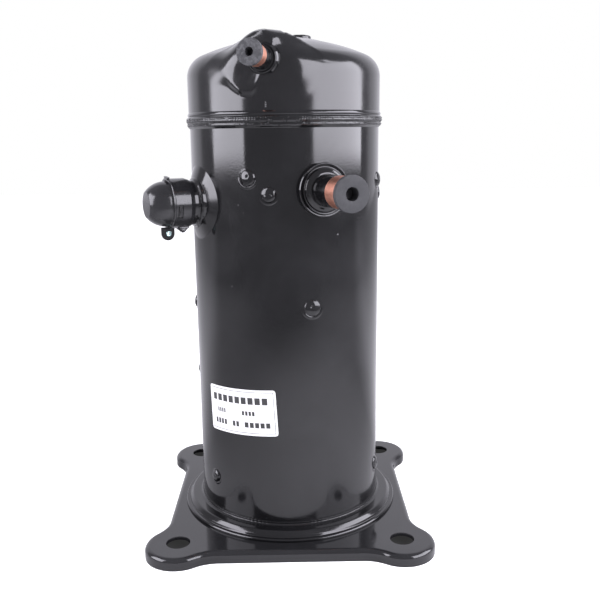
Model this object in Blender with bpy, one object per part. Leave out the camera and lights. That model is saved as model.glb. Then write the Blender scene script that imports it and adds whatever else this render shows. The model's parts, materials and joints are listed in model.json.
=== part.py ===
"""Hermetic scroll compressor, modelled as one assembly of separate parts.

Units are metres and +Z is up. The origin is on the shell's axis, in the plane that the feet stand on.
An azimuth is measured around +Z from -Y towards +X, so azimuth 0 faces the front.
"""
import math

import bmesh
import bpy
from mathutils import Matrix
from mathutils import Vector

MM = 0.001
GAP = 0.3 * MM

# Pressure shell
SHELL_R = 82.2 * MM
SHELL_WALL = 3.0 * MM
BORE_R = SHELL_R - SHELL_WALL
SHELL_BOTTOM = 18.3 * MM
SEAM_Z = 358.0 * MM
CAP_R = 82.9 * MM
CAP_WALL = 3.0 * MM
CAP_BOTTOM = 361.6 * MM
CAP_WALL_TOP = 395.8 * MM
CAP_SHOULDER_R = 19.05 * MM
CAP_APEX = 428.0 * MM
CROWN_R = 180.3 * MM

# Base
FOOT_PITCH = 190.5 * MM
FOOT_HOLE_R = 9.85 * MM
EAR_R = 28.0 * MM
PLATE_TOP = 10.4 * MM
PLATE_T = 2.8 * MM
PLATE_SIDE = 108.0 * MM
PLATE_FRONT = 112.5 * MM

# Fittings: azimuth in degrees, height, distances along the fitting's own axis
SUCTION_AZ = 21.5
SUCTION_Z = 305.0 * MM
SUCTION_TUBE_R = 12.7 * MM
SUCTION_END = 136.0 * MM
DISCHARGE_AZ = -17.5
DISCHARGE_TILT = 5.0
DISCHARGE_BASE = Vector((-14.6, -80.7, 404.7)) * MM
DISCHARGE_TUBE_R = 8.4 * MM
DISCHARGE_END = 32.0 * MM
BOSS_R = 26.5 * MM
TERMINAL_AZ = -63.5
TERMINAL_Z = 293.0 * MM
FENCE_R = 18.7 * MM
PIN_CIRCLE_R = 7.5 * MM

# Scroll pump
SCROLL_PITCH = 14.5 * MM
WRAP_T = 3.5 * MM
FLANK_GAP = 0.6 * MM
ORBIT = SCROLL_PITCH / 2 - WRAP_T - FLANK_GAP
WRAP_START = 4.2
WRAP_END = 21.5
THRUST_Z = 318.0 * MM
FLOOR_Z = 326.3 * MM
FIXED_Z = 350.3 * MM
FIXED_TOP = 364.0 * MM
SCROLL_BODY_R = 74.0 * MM
LOBE_AZ = (-15.5, 74.5, 164.5, 254.5)
BOLT_CIRCLE_R = 67.0 * MM
BOLT_R = 3.0 * MM

# Motor
STATOR_Z = (100.0 * MM, 205.0 * MM)
STATOR_BORE_R = 46.4 * MM
ROTOR_R = 45.8 * MM
SHAFT_R = 13.0 * MM
SLOTS = 18
SLOT_HALF = math.radians(4.2)
SLOT_EDGE = math.radians(0.15)

# Facets around a turned piece
LARGE = 44
MEDIUM = 28
SMALL = 16
FINE = 10

# Finishes: base colour, metallic, roughness
BLACK_PAINT = ((0.012, 0.012, 0.013), 0.0, 0.22)
BARE_STEEL = ((0.42, 0.42, 0.43), 1.0, 0.38)
CAST_IRON = ((0.16, 0.16, 0.17), 0.8, 0.6)
COPPER = ((0.72, 0.36, 0.26), 1.0, 0.32)
COIL = ((0.45, 0.16, 0.07), 0.6, 0.4)
ALUMINIUM = ((0.62, 0.63, 0.64), 1.0, 0.42)
RUBBER = ((0.035, 0.035, 0.037), 0.0, 0.85)
BRONZE = ((0.50, 0.33, 0.14), 1.0, 0.35)
GLASS = ((0.10, 0.22, 0.16), 0.0, 0.15)
WHITE_FILM = ((0.88, 0.88, 0.87), 0.0, 0.45)
BLACK_PLASTIC = ((0.014, 0.014, 0.015), 0.0, 0.3)


def clear_scene():
    for old in list(bpy.data.objects):
        bpy.data.objects.remove(old, do_unlink=True)


def finish_material(name, finish):
    colour, metallic, roughness = finish
    material = bpy.data.materials.new(name)
    material.use_nodes = True
    shader = material.node_tree.nodes["Principled BSDF"]
    shader.inputs["Base Color"].default_value = (*colour, 1.0)
    shader.inputs["Metallic"].default_value = metallic
    shader.inputs["Roughness"].default_value = roughness
    return material


def add_object(name, mesh, finish=None, matrix=None):
    """Turn a bmesh into a named object with outward faces, its own material and smooth shading."""
    bmesh.ops.recalc_face_normals(mesh, faces=mesh.faces)
    data = bpy.data.meshes.new(name)
    mesh.to_mesh(data)
    mesh.free()
    data.shade_smooth()
    data.set_sharp_from_angle(angle=math.radians(35))
    if finish:
        data.materials.append(finish_material(name, finish))
    piece = bpy.data.objects.new(name, data)
    bpy.context.collection.objects.link(piece)
    if matrix:
        piece.matrix_world = matrix
    return piece


def as_cutter(piece):
    piece.hide_render = True
    piece.display_type = "WIRE"
    return piece


def combine(piece, other, operation):
    """Join or cut a piece by a hidden helper object."""
    modifier = piece.modifiers.new(operation.title(), "BOOLEAN")
    modifier.operation = operation
    modifier.solver = "EXACT"
    modifier.object = as_cutter(other)


def cut(piece, *cutters):
    for cutter in cutters:
        combine(piece, cutter, "DIFFERENCE")


def join(piece, *others):
    for other in others:
        combine(piece, other, "UNION")


def even_angles(count):
    return [2 * math.pi * step / count for step in range(count)]


def radius_at(radius, angle):
    return radius(angle) if callable(radius) else radius


def skin(rings, closed=True):
    """Join a chain of rings with faces. A ring of one point is a pole on the axis."""
    mesh = bmesh.new()
    chain = [[mesh.verts.new(point) for point in ring] for ring in rings]
    pairs = list(zip(chain, chain[1:]))
    if closed:
        pairs.append((chain[-1], chain[0]))
    for first, second in pairs:
        if len(first) == 1 and len(second) == 1:
            continue
        count = max(len(first), len(second))
        for step in range(count):
            after = (step + 1) % count
            if len(first) == 1:
                mesh.faces.new((first[0], second[after], second[step]))
            elif len(second) == 1:
                mesh.faces.new((first[step], first[after], second[0]))
            else:
                mesh.faces.new((first[step], first[after], second[after], second[step]))
    return mesh


def turned(name, section, finish=None, matrix=None, segments=28, angles=None):
    """Turn a section of (radius, height) points about local Z.

    A radius may be a function of the angle, for lobes and slots. A section that starts and ends on the axis
    closes there, and any other section closes on itself as a ring.
    """
    angles = angles or even_angles(segments)
    rings = []
    for radius, height in section:
        if radius == 0:
            rings.append([(0, 0, height)])
        else:
            rings.append([(radius_at(radius, a) * math.cos(a), radius_at(radius, a) * math.sin(a), height)
                          for a in angles])
    on_axis = len(rings[0]) == 1 and len(rings[-1]) == 1
    return add_object(name, skin(rings, closed=not on_axis), finish, matrix)


def rod(name, radius, low, high, finish=None, matrix=None, segments=16):
    return turned(name, [(0, low), (radius, low), (radius, high), (0, high)], finish, matrix, segments)


def ring(name, inner, outer, low, high, finish=None, matrix=None, segments=28):
    section = [(inner, low), (outer, low), (outer, high), (inner, high)]
    return turned(name, section, finish, matrix, segments)


def block(name, size, centre, finish=None, matrix=None):
    mesh = bmesh.new()
    bmesh.ops.create_cube(mesh, size=1.0)
    bmesh.ops.scale(mesh, vec=size, verts=mesh.verts)
    bmesh.ops.translate(mesh, vec=centre, verts=mesh.verts)
    return add_object(name, mesh, finish, matrix)


def prism(name, outline, low, high, finish=None, matrix=None):
    """Extrude a flat outline along Z, with its ends filled."""
    mesh = bmesh.new()
    bottom = [mesh.verts.new((x, y, low)) for x, y in outline]
    face = mesh.faces.new(bottom)
    grown = bmesh.ops.extrude_face_region(mesh, geom=[face])
    moved = [item for item in grown["geom"] if isinstance(item, bmesh.types.BMVert)]
    bmesh.ops.translate(mesh, vec=(0, 0, high - low), verts=moved)
    bmesh.ops.triangulate(mesh, faces=[item for item in mesh.faces if len(item.verts) > 4])
    return add_object(name, mesh, finish, matrix)


def arc(centre, radius, start, end, steps):
    """Points of an arc from start to end, in degrees, with both ends."""
    angles = [math.radians(start + (end - start) * step / steps) for step in range(steps + 1)]
    return [(centre[0] + radius * math.cos(a), centre[1] + radius * math.sin(a)) for a in angles]


def along(azimuth, height, tilt=0.0):
    """Frame whose local Z points outwards from the shell's axis at an azimuth and a tilt, in degrees."""
    turn = Matrix.Rotation(math.radians(azimuth - 90), 4, "Z")
    lean = Matrix.Rotation(math.radians(90 - tilt), 4, "Y")
    return Matrix.Translation((0, 0, height)) @ turn @ lean


def polar(radius, azimuth):
    angle = math.radians(azimuth - 90)
    return radius * math.cos(angle), radius * math.sin(angle)


def discharge_frame():
    frame = along(DISCHARGE_AZ, 0, DISCHARGE_TILT)
    return Matrix.Translation(DISCHARGE_BASE) @ frame


def lobed(full, waist, half_width, blend):
    """Radius function with a full-radius lobe at each bolt azimuth and a waist between them."""
    def radius(angle):
        azimuth = math.degrees(angle) + 90
        offset = min(abs((azimuth - lobe + 180) % 360 - 180) for lobe in LOBE_AZ)
        share = min(max((offset - half_width) / blend, 0), 1)
        return full + (waist - full) * share
    return radius


# Pressure shell and base

def cap_profile(inset, steps):
    """Outer profile of the top cap, moved inwards by an inset, from the rim to the apex."""
    shoulder_z = CAP_WALL_TOP
    shoulder_x = CAP_R - CAP_SHOULDER_R
    crown_z = CAP_APEX - CROWN_R
    end = math.degrees(math.atan2(shoulder_z - crown_z, shoulder_x))
    rise = (CAP_WALL_TOP - CAP_BOTTOM) / steps
    wall = [(CAP_R - inset, CAP_BOTTOM + rise * step) for step in range(steps)]
    shoulder = arc((shoulder_x, shoulder_z), CAP_SHOULDER_R - inset, 0, end, steps)
    crown = arc((0, crown_z), CROWN_R - inset, end, 90, steps)
    return wall + shoulder + crown[1:-1] + [(0, CAP_APEX - inset)]


def boss_reach(origin, direction, inset):
    """Length of a ray from the boss's centre to the boss's surface: a short round bar with a flat front."""
    axis = discharge_frame().to_3x3() @ Vector((0, 0, 1))
    forward = direction.dot(axis)
    sideways = (direction - axis * forward).length
    to_side = (BOSS_R - inset) / max(sideways, 1e-6)
    front = (DISCHARGE_BASE - origin).dot(axis) - inset
    to_front = front / forward if forward > 1e-6 else 1.0
    to_back = 30 * MM / -forward if forward < -1e-6 else 1.0
    return -smooth_max(-min(to_side, to_back), -to_front, 12 * MM)


def smooth_max(first, second, blend):
    overlap = max(blend - abs(first - second), 0) / blend
    return max(first, second) + overlap * overlap * blend / 4


def cap_with_boss(point, inset):
    """Push a point of the plain cap out to the smooth union of the cap and the discharge boss."""
    axis = discharge_frame().to_3x3() @ Vector((0, 0, 1))
    centre = DISCHARGE_BASE - axis * 60 * MM
    ray = Vector(point) - centre
    plain = ray.length
    boss = boss_reach(centre, ray / plain, inset)
    return centre + ray * (smooth_max(plain, boss, 10 * MM) / plain)


def boss_angles():
    """Angles around the cap, close together at the boss and wide apart behind it."""
    near = [4.0 * step for step in range(1, 11)]
    far = [40 + 11.0 * step for step in range(1, 13)]
    offsets = [-offset for offset in reversed(near + far)] + [0] + near + far
    return [math.radians(DISCHARGE_AZ - 90 + offset) for offset in offsets]


def top_cap():
    outer = cap_profile(0, 5)
    inner = cap_profile(CAP_WALL, 2)
    rings = []
    for section, inset in ((outer, 0), (inner[::-1], CAP_WALL)):
        for radius, height in section:
            angles = boss_angles() if radius else [0]
            points = [(radius * math.cos(a), radius * math.sin(a), height) for a in angles]
            flat = height <= CAP_BOTTOM
            rings.append([p if flat else cap_with_boss(p, inset) for p in points])
    cap = add_object("top_cap", skin(rings), BLACK_PAINT)
    hole = rod("discharge_hole", DISCHARGE_TUBE_R + GAP, -16 * MM, 12 * MM, None, discharge_frame())
    cut(cap, hole)


def main_shell():
    shell = ring("main_shell", BORE_R, SHELL_R, SHELL_BOTTOM, SEAM_Z, BLACK_PAINT, segments=LARGE)
    suction = rod("suction_hole", SUCTION_TUBE_R + GAP, 60 * MM, 100 * MM, None, along(SUCTION_AZ, SUCTION_Z))
    terminal = rod("terminal_hole", 15.8 * MM, 60 * MM, 100 * MM, None, along(TERMINAL_AZ, TERMINAL_Z))
    cut(shell, suction, terminal)


def top_seam_weld():
    bead_z = 360.4 * MM
    inner = CAP_R + GAP
    bead = [(inner, bead_z - 5 * MM), (inner + 0.9 * MM, bead_z - 4.2 * MM), (84.9 * MM, bead_z - 1.5 * MM),
            (84.9 * MM, bead_z + 1.5 * MM), (inner + 0.9 * MM, bead_z + 4.2 * MM), (inner, bead_z + 5 * MM)]
    turned("top_seam_weld", bead, BLACK_PAINT, segments=LARGE)


def bottom_cap():
    """Pressed sump dish: flat floor, steep wall, shelf under the shell's end and a flange on the plate."""
    shelf = 18.0 * MM
    flange_top = 13.3 * MM
    sheet = 2.6 * MM
    top_side = [(0, sheet), (64 * MM, sheet), (70 * MM, 6 * MM), (73 * MM, 14 * MM), (78 * MM, shelf),
                (91 * MM, shelf), (94 * MM, 16.8 * MM), (95.6 * MM, 14.2 * MM), (96.6 * MM, flange_top),
                (98.6 * MM, flange_top)]
    under_side = [(99.3 * MM, 12.4 * MM), (99.3 * MM, PLATE_TOP + GAP), (93.6 * MM, PLATE_TOP + GAP),
                  (91 * MM, 15.2 * MM), (79 * MM, 15.2 * MM), (75.6 * MM, 12 * MM), (72 * MM, 3 * MM),
                  (66 * MM, 0), (0, 0)]
    turned("bottom_cap", top_side + under_side, BLACK_PAINT, segments=LARGE)


def base_weld():
    inner = SHELL_R + GAP
    low = 18.0 * MM + GAP
    bead = [(inner, low), (87.4 * MM, low), (87.2 * MM, 19.4 * MM), (85.2 * MM, 22.2 * MM), (inner, 24.2 * MM)]
    turned("base_weld", bead, BLACK_PAINT, segments=LARGE)


def plate_outline():
    """Outline of the base plate, anticlockwise: four ears, hollow blends and straight sides."""
    half = FOOT_PITCH / 2
    blend_r = 34 * MM
    points = []
    for quarter in range(4):
        swapped = quarter % 2
        side = PLATE_FRONT if swapped else PLATE_SIDE
        top = PLATE_SIDE if swapped else PLATE_FRONT
        low = blend_centre(half, side, blend_r)
        high = blend_centre(half, top, blend_r)
        start = math.degrees(math.atan2(low - half, side + blend_r - half))
        end = math.degrees(math.atan2(top + blend_r - half, high - half))
        corner = arc((side + blend_r, low), blend_r, 180, 180 + start, 3)
        corner += arc((half, half), EAR_R, start, end, 9)[1:-1]
        corner += arc((high, top + blend_r), blend_r, end + 180, 270, 3)
        corner += [(high * (1 - step / 2), top) for step in range(1, 4)]
        turn = Matrix.Rotation(quarter * math.pi / 2, 2)
        points += [turn @ Vector(point) for point in corner]
    return points


def blend_centre(half, side, blend_r):
    """Height of the centre of the hollow arc that touches both the straight side and the ear."""
    across = side + blend_r - half
    return half - math.sqrt((EAR_R + blend_r) ** 2 - across ** 2)


def inset_outline(points, distance):
    """Move each point of an anticlockwise outline inwards along its own normal."""
    moved = []
    for index, point in enumerate(points):
        before = points[index - 1]
        after = points[(index + 1) % len(points)]
        run = (after - before).normalized()
        moved.append(point + Vector((-run.y, run.x)) * distance)
    return moved


def base_plate():
    outline = plate_outline()
    seat_r = 77.5 * MM
    seat = [Vector(point).normalized() * seat_r for point in outline]
    skirt = 2.6 * MM
    top = [(0, 0), (0, 5.6 * MM), (1.3 * MM, 8.8 * MM), (4.6 * MM, PLATE_TOP)]
    under = [(5.0 * MM, PLATE_TOP - PLATE_T), (skirt + 0.4 * MM, 5.2 * MM), (skirt, 0)]
    rings = [[(p.x, p.y, height) for p in inset_outline(outline, inset)] for inset, height in top]
    rings += [[(p.x, p.y, PLATE_TOP) for p in seat]]
    rings += [[(p.x, p.y, PLATE_TOP - PLATE_T) for p in seat]]
    rings += [[(p.x, p.y, height) for p in inset_outline(outline, inset)] for inset, height in under]
    plate = add_object("base_plate", skin(rings), BLACK_PAINT)
    for x in (-FOOT_PITCH / 2, FOOT_PITCH / 2):
        for y in (-FOOT_PITCH / 2, FOOT_PITCH / 2):
            cut(plate, rod("foot_hole", FOOT_HOLE_R, -1 * MM, 20 * MM, None, Matrix.Translation((x, y, 0))))


def cap_button():
    place = Matrix.Translation((14 * MM, 2 * MM, 0))
    turned("cap_button", [(0, 428.6 * MM), (10 * MM, 428.6 * MM), (10 * MM, 430.2 * MM), (8.6 * MM, 431.0 * MM),
                          (0, 431.4 * MM)], BLACK_PAINT, place, SMALL)


def separator_plate():
    section = [(9 * MM, 373.0 * MM), (73 * MM, 373.0 * MM), (74.8 * MM, 371 * MM), (75.2 * MM, 360 * MM),
               (77 * MM, SEAM_Z + GAP), (82.2 * MM, SEAM_Z + GAP), (82.2 * MM, CAP_BOTTOM - GAP),
               (78.6 * MM, CAP_BOTTOM - GAP), (77.8 * MM, 372.6 * MM), (74.8 * MM, 376.0 * MM),
               (9 * MM, 376.0 * MM)]
    turned("separator_plate", section, BARE_STEEL, segments=LARGE)


# Fittings

def shell_envelope(name, radius):
    return rod(name, radius, 0, SEAM_Z, None, None, LARGE)


def suction_fittings():
    frame = along(SUCTION_AZ, SUCTION_Z)
    tube = SUCTION_TUBE_R
    collar = turned("suction_collar", [(tube + GAP, 74 * MM), (21.7 * MM, 74 * MM), (21.7 * MM, 86.2 * MM),
                                       (20.6 * MM, 87.4 * MM), (16.4 * MM, 88.2 * MM), (15.6 * MM, 90.2 * MM),
                                       (tube + GAP, 91 * MM)], BLACK_PAINT, frame, MEDIUM)
    cut(collar, shell_envelope("collar_seat", SHELL_R + GAP))
    ring("suction_stub", tube - 1.2 * MM, tube, 76 * MM, SUCTION_END - 4 * MM, COPPER, frame, MEDIUM)
    shank = tube - 1.2 * MM - GAP
    lip = SUCTION_END - 4 * MM + GAP
    turned("suction_plug", [(0, 122 * MM), (shank, 122 * MM), (shank, lip), (14.1 * MM, lip),
                            (14.1 * MM, SUCTION_END), (5.2 * MM, SUCTION_END), (5.2 * MM, 125 * MM),
                            (0, 125 * MM)], RUBBER, frame, SMALL)
    baffle_angles = [math.radians(az - 90) for az in range(10, 35, 4)]
    arc_out = [(73.4 * MM * math.cos(a), 73.4 * MM * math.sin(a)) for a in baffle_angles]
    arc_in = [(72.2 * MM * math.cos(a), 72.2 * MM * math.sin(a)) for a in reversed(baffle_angles)]
    prism("suction_baffle", arc_out + arc_in, 284 * MM, 316 * MM, BARE_STEEL)


def discharge_fittings():
    frame = discharge_frame()
    tube = DISCHARGE_TUBE_R
    inner = tube + GAP
    turned("discharge_collar", [(inner, 3.2 * MM), (11.6 * MM, 3.2 * MM), (11.9 * MM, 4.6 * MM),
                                (10.9 * MM, 5.6 * MM), (inner, 6.2 * MM)], BLACK_PAINT, frame, SMALL)
    lip = DISCHARGE_END - 3.5 * MM
    ring("discharge_stub", tube - 1.1 * MM, tube, -12 * MM, lip - GAP, COPPER, frame, SMALL)
    shank = tube - 1.1 * MM - GAP
    turned("discharge_plug", [(0, 20 * MM), (shank, 20 * MM), (shank, lip), (9.9 * MM, lip),
                              (9.9 * MM, DISCHARGE_END), (3.2 * MM, DISCHARGE_END), (3.2 * MM, 22.5 * MM),
                              (0, 22.5 * MM)], RUBBER, frame, SMALL)


def terminal_fittings():
    frame = along(TERMINAL_AZ, TERMINAL_Z)
    fence = turned("terminal_fence", [(16.3 * MM, 74 * MM), (21.8 * MM, 74 * MM), (21.8 * MM, 84.6 * MM),
                                      (20.6 * MM, 86.0 * MM), (FENCE_R, 86.4 * MM), (FENCE_R, 103 * MM),
                                      (16.3 * MM, 103 * MM)], BLACK_PAINT, frame, MEDIUM)
    cut(fence, shell_envelope("fence_seat", SHELL_R + GAP))
    header = turned("terminal_header", [(0, 78 * MM), (15.4 * MM, 78 * MM), (15.4 * MM, 86 * MM),
                                        (13.6 * MM, 86 * MM), (12.6 * MM, 81 * MM), (0, 81 * MM)],
                    BARE_STEEL, frame, SMALL)
    for index in range(3):
        spot = Matrix.Rotation(index * 2 * math.pi / 3, 4, "Z") @ Matrix.Translation((PIN_CIRCLE_R, 0, 0))
        place = frame @ spot
        cut(header, rod("bead_hole", 3.6 * MM, 70 * MM, 90 * MM, None, place, FINE))
        ring(f"terminal_glass_{index + 1}", 1.9 * MM, 3.3 * MM, 76.5 * MM, 83 * MM, GLASS, place, FINE)
        rod(f"terminal_pin_{index + 1}", 1.6 * MM, 68 * MM, 99 * MM, COPPER, place, FINE)
    ring("cover_gasket", 16.3 * MM, 18.6 * MM, 103.3 * MM, 105.3 * MM, RUBBER, frame, MEDIUM)
    terminal_cover(frame)


def terminal_cover(frame):
    skirt = 20.8 * MM
    inside = FENCE_R + GAP
    start = 91.6 * MM
    flange = 110 * MM
    dome_r = 18.8 * MM
    dome = [(x, flange + 1.2 * MM + y * 20.2 / 18.8) for x, y in arc((0, 0), dome_r, 0, 90, 5)[:-1]]
    hollow = [(x, flange + y) for x, y in arc((0, 0), dome_r - 1.8 * MM, 90, 0, 3)[1:]]
    outer = [(skirt - 0.8 * MM, start), (skirt, start + 1.2 * MM), (skirt, flange - 1.4 * MM),
             (21.7 * MM, flange - 1.4 * MM), (21.7 * MM, flange)]
    apex = flange + 1.2 * MM + 20.2 * MM
    section = [(0, apex - 2.6 * MM)] + hollow + [(17 * MM, 105.8 * MM), (inside, 105.6 * MM), (inside, start)]
    cover = turned("terminal_cover", section + outer + dome + [(0, apex)], BLACK_PLASTIC, frame, MEDIUM)
    ear_place = frame @ Matrix.Translation((0, 2 * MM, 110.9 * MM)) @ Matrix.Rotation(math.pi / 2, 4, "X")
    ear_r = 5.6 * MM
    tip = arc((24.6 * MM, 0), ear_r, -90, 90, 8)
    root = [(19.2 * MM, ear_r), (19.2 * MM, -ear_r)]
    ear = prism("cover_ear", tip + root, -1.2 * MM, 1.2 * MM, None, ear_place)
    join(cover, ear)
    hole_place = ear_place @ Matrix.Translation((24.4 * MM, -0.3 * MM, 0))
    cut(cover, rod("eyelet_hole", 1.9 * MM, -4 * MM, 4 * MM, None, hole_place, FINE))
    barrel = 1.6 * MM
    lip = 2.4 * MM
    bore = 1.0 * MM
    near = 1.5 * MM
    far = 1.9 * MM
    turned("cover_eyelet", [(bore, -far), (lip, -far), (lip, -near), (barrel, -near), (barrel, near),
                            (lip, near), (lip, far), (bore, far)], BARE_STEEL, hole_place, FINE)


def rating_label():
    centre_az = -30.7
    low_r = SHELL_R + GAP
    thick = 0.35 * MM
    wide = 69 * MM
    tall = 40.5 * MM
    centre_z = 117.7 * MM
    lean = math.radians(3.2)
    columns = 12
    edge = []
    for side, step in [(-1, s) for s in range(columns + 1)] + [(1, s) for s in range(columns, -1, -1)]:
        across = wide * (step / columns - 0.5)
        up = tall / 2 * side
        turned_across = across * math.cos(lean) - up * math.sin(lean)
        turned_up = across * math.sin(lean) + up * math.cos(lean)
        edge.append((math.degrees(turned_across / low_r) + centre_az, centre_z + turned_up))
    mesh = bmesh.new()
    layers = []
    for radius in (low_r, low_r + thick):
        layers.append([mesh.verts.new((*polar(radius, az), height)) for az, height in edge])
    inner, outer = layers
    count = len(edge)
    for step in range(count):
        after = (step + 1) % count
        mesh.faces.new((inner[step], inner[after], outer[after], outer[step]))
    for step in range(columns):
        mirror = count - 1 - step
        for layer in layers:
            mesh.faces.new((layer[step], layer[step + 1], layer[mirror - 1], layer[mirror]))
    add_object("rating_label", mesh, WHITE_FILM)


# Scroll pump

def wrap_outline(half_turn):
    """Closed outline of one spiral wall: the involute of a small circle, given a wall thickness.

    The steps shorten as the spiral widens, so that its flats stay within the gap between the two walls.
    """
    base = SCROLL_PITCH / (2 * math.pi)
    shift = WRAP_T / (2 * base)
    steps = 48
    low = WRAP_START ** 1.5
    high = WRAP_END ** 1.5
    angles = [(low + (high - low) * step / steps) ** (2 / 3) for step in range(steps + 1)]

    def involute(angle, offset):
        run = angle - offset
        x = base * (math.cos(angle) + run * math.sin(angle))
        y = base * (math.sin(angle) - run * math.cos(angle))
        sign = -1 if half_turn else 1
        return sign * x, sign * y
    return [involute(a, -shift) for a in angles] + [involute(a, shift) for a in reversed(angles)]


def fixed_scroll():
    seal_floor = 361.0 * MM
    section = [(6 * MM, FIXED_Z), (60 * MM, FIXED_Z), (60 * MM, THRUST_Z + GAP),
               (SCROLL_BODY_R, THRUST_Z + GAP),
               (SCROLL_BODY_R, FIXED_TOP), (42.3 * MM, FIXED_TOP), (42.3 * MM, seal_floor),
               (23.7 * MM, seal_floor), (23.7 * MM, FIXED_TOP), (6 * MM, FIXED_TOP)]
    scroll = turned("fixed_scroll", section, CAST_IRON, segments=LARGE)
    join(scroll, prism("fixed_wrap", wrap_outline(True), FLOOR_Z + GAP, FIXED_Z + 1 * MM))
    for azimuth in (29.5, 209.5):
        x, y = polar(67 * MM, azimuth)
        turn = Matrix.Translation((x, y, 334 * MM)) @ Matrix.Rotation(math.radians(azimuth), 4, "Z")
        cut(scroll, block("gas_window", (38 * MM, 24 * MM, 18 * MM), (0, 0, 0), None, turn))
    cut(scroll, *bolt_holes(THRUST_Z, FIXED_TOP + 1 * MM))


def bolt_holes(low, high):
    holes = []
    for azimuth in LOBE_AZ:
        place = Matrix.Translation((*polar(BOLT_CIRCLE_R, azimuth), 0))
        holes.append(rod("bolt_hole", BOLT_R + GAP, low, high, None, place, FINE))
    return holes


def orbiting_scroll():
    place = Matrix.Translation((0, ORBIT, 0))
    section = [(12.9 * MM, 292 * MM), (18 * MM, 292 * MM), (18 * MM, THRUST_Z + GAP), (55 * MM, THRUST_Z + GAP),
               (55 * MM, FLOOR_Z), (0, FLOOR_Z), (0, THRUST_Z), (12.9 * MM, THRUST_Z)]
    scroll = turned_disc("orbiting_scroll", section, place)
    join(scroll, prism("orbiting_wrap", wrap_outline(False), FLOOR_Z - 1 * MM, FIXED_Z - GAP, None, place))
    for side in (-1, 1):
        notch = (2 * (4 * MM + 2 * ORBIT + GAP), 16 * MM, 5 * MM)
        middle = (0, side * (46.2 + 8) * MM, THRUST_Z + 2.0 * MM)
        cut(scroll, block("keyway", notch, middle, None, place))


def turned_disc(name, section, place):
    """Turned piece whose section crosses the axis twice in its middle."""
    start = next(index for index, point in enumerate(section) if point[0] == 0)
    reordered = section[start + 1:] + section[:start + 1]
    return turned(name, reordered, CAST_IRON, place, LARGE)


def oldham_ring():
    coupling = ring("oldham_ring", 49.8 * MM, 57 * MM, 310.3 * MM, 315.3 * MM, ALUMINIUM, segments=MEDIUM)
    for side in (-1, 1):
        upper = block("upper_key", (8 * MM, 6.6 * MM, 10 * MM), (0, side * 53.4 * MM, 316.9 * MM))
        lower = block("lower_key", (6.6 * MM, 8 * MM, 8 * MM), (side * 53.4 * MM, 0, 309.6 * MM))
        join(coupling, upper, lower)


def main_frame():
    flange = lobed(BORE_R - GAP, 64 * MM, 17, 6)
    section = [(17.3 * MM, 256 * MM), (27 * MM, 256 * MM), (27 * MM, 284 * MM), (44 * MM, 296 * MM),
               (flange, 298 * MM), (flange, THRUST_Z), (61 * MM, THRUST_Z), (61 * MM, 310 * MM),
               (46 * MM, 310 * MM), (46 * MM, THRUST_Z), (24 * MM, THRUST_Z), (24 * MM, 288 * MM),
               (17.3 * MM, 288 * MM)]
    frame = turned("main_frame", section, CAST_IRON, segments=LARGE)
    for side in (-1, 1):
        slot = (6.6 * MM + 2 * ORBIT + 2 * GAP, 8 * MM + 2 * GAP, 10 * MM)
        cut(frame, block("key_slot", slot, (side * 53.4 * MM, 0, 310 * MM)))
    cut(frame, *bolt_holes(300 * MM, THRUST_Z + 1 * MM))
    ring("main_bearing_bush", 14.3 * MM, 17.0 * MM, 258 * MM, 286 * MM, BRONZE, segments=SMALL)


def frame_bolts():
    for index, azimuth in enumerate(LOBE_AZ):
        place = Matrix.Translation((*polar(BOLT_CIRCLE_R, azimuth), 0))
        bolt = turned(f"frame_bolt_{index + 1}", [(0, 301 * MM), (BOLT_R, 301 * MM), (BOLT_R, FIXED_TOP + GAP),
                                                 (5.4 * MM, FIXED_TOP + GAP), (5.4 * MM, FIXED_TOP + 6 * MM),
                                                 (0, FIXED_TOP + 6 * MM)], BARE_STEEL, place, FINE)
        socket = prism("bolt_socket", arc((0, 0), 2.6 * MM, 0, 300, 5), FIXED_TOP + 2.5 * MM, FIXED_TOP + 8 * MM,
                       None, place)
        cut(bolt, socket)


def drive_bushes():
    place = Matrix.Translation((0, ORBIT, 0))
    ring("scroll_hub_bush", 10.9 * MM, 12.6 * MM, 293 * MM, 316 * MM, BRONZE, place, SMALL)
    ring("slider_block", 7.3 * MM, 10.6 * MM, 292 * MM, 315 * MM, BARE_STEEL, place, SMALL)


def discharge_valves():
    seat = 376.0 * MM
    rod("check_valve_disc", 13 * MM, seat + GAP, seat + 1.8 * MM, BARE_STEEL, None, SMALL)
    cage = turned("check_valve_cage", [(14.5 * MM, seat + GAP), (17.5 * MM, seat + GAP), (17.5 * MM, 386 * MM),
                                       (6 * MM, 386 * MM), (6 * MM, 383 * MM), (14.5 * MM, 383 * MM)],
                  BARE_STEEL, segments=SMALL)
    for azimuth in (0, 120, 240):
        x, y = polar(16 * MM, azimuth)
        turn = Matrix.Translation((x, y, 380 * MM)) @ Matrix.Rotation(math.radians(azimuth), 4, "Z")
        cut(cage, block("cage_window", (11 * MM, 8 * MM, 4 * MM), (0, 0, 0), None, turn))
    ring("floating_seal", 24.3 * MM, 41.6 * MM, 361.3 * MM, 371.6 * MM, ALUMINIUM, segments=MEDIUM)
    place = Matrix.Translation((*polar(52 * MM, 120), 0))
    turned("relief_valve_body", [(3.3 * MM, seat + GAP), (7 * MM, seat + GAP), (7 * MM, 390 * MM),
                                 (2 * MM, 390 * MM),
                                 (2 * MM, 387 * MM), (3.3 * MM, 387 * MM)], BRONZE, place, FINE)
    rod("relief_valve_poppet", 2.9 * MM, seat + GAP, seat + 7 * MM, BARE_STEEL, place, FINE)


# Motor and drive shaft

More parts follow.
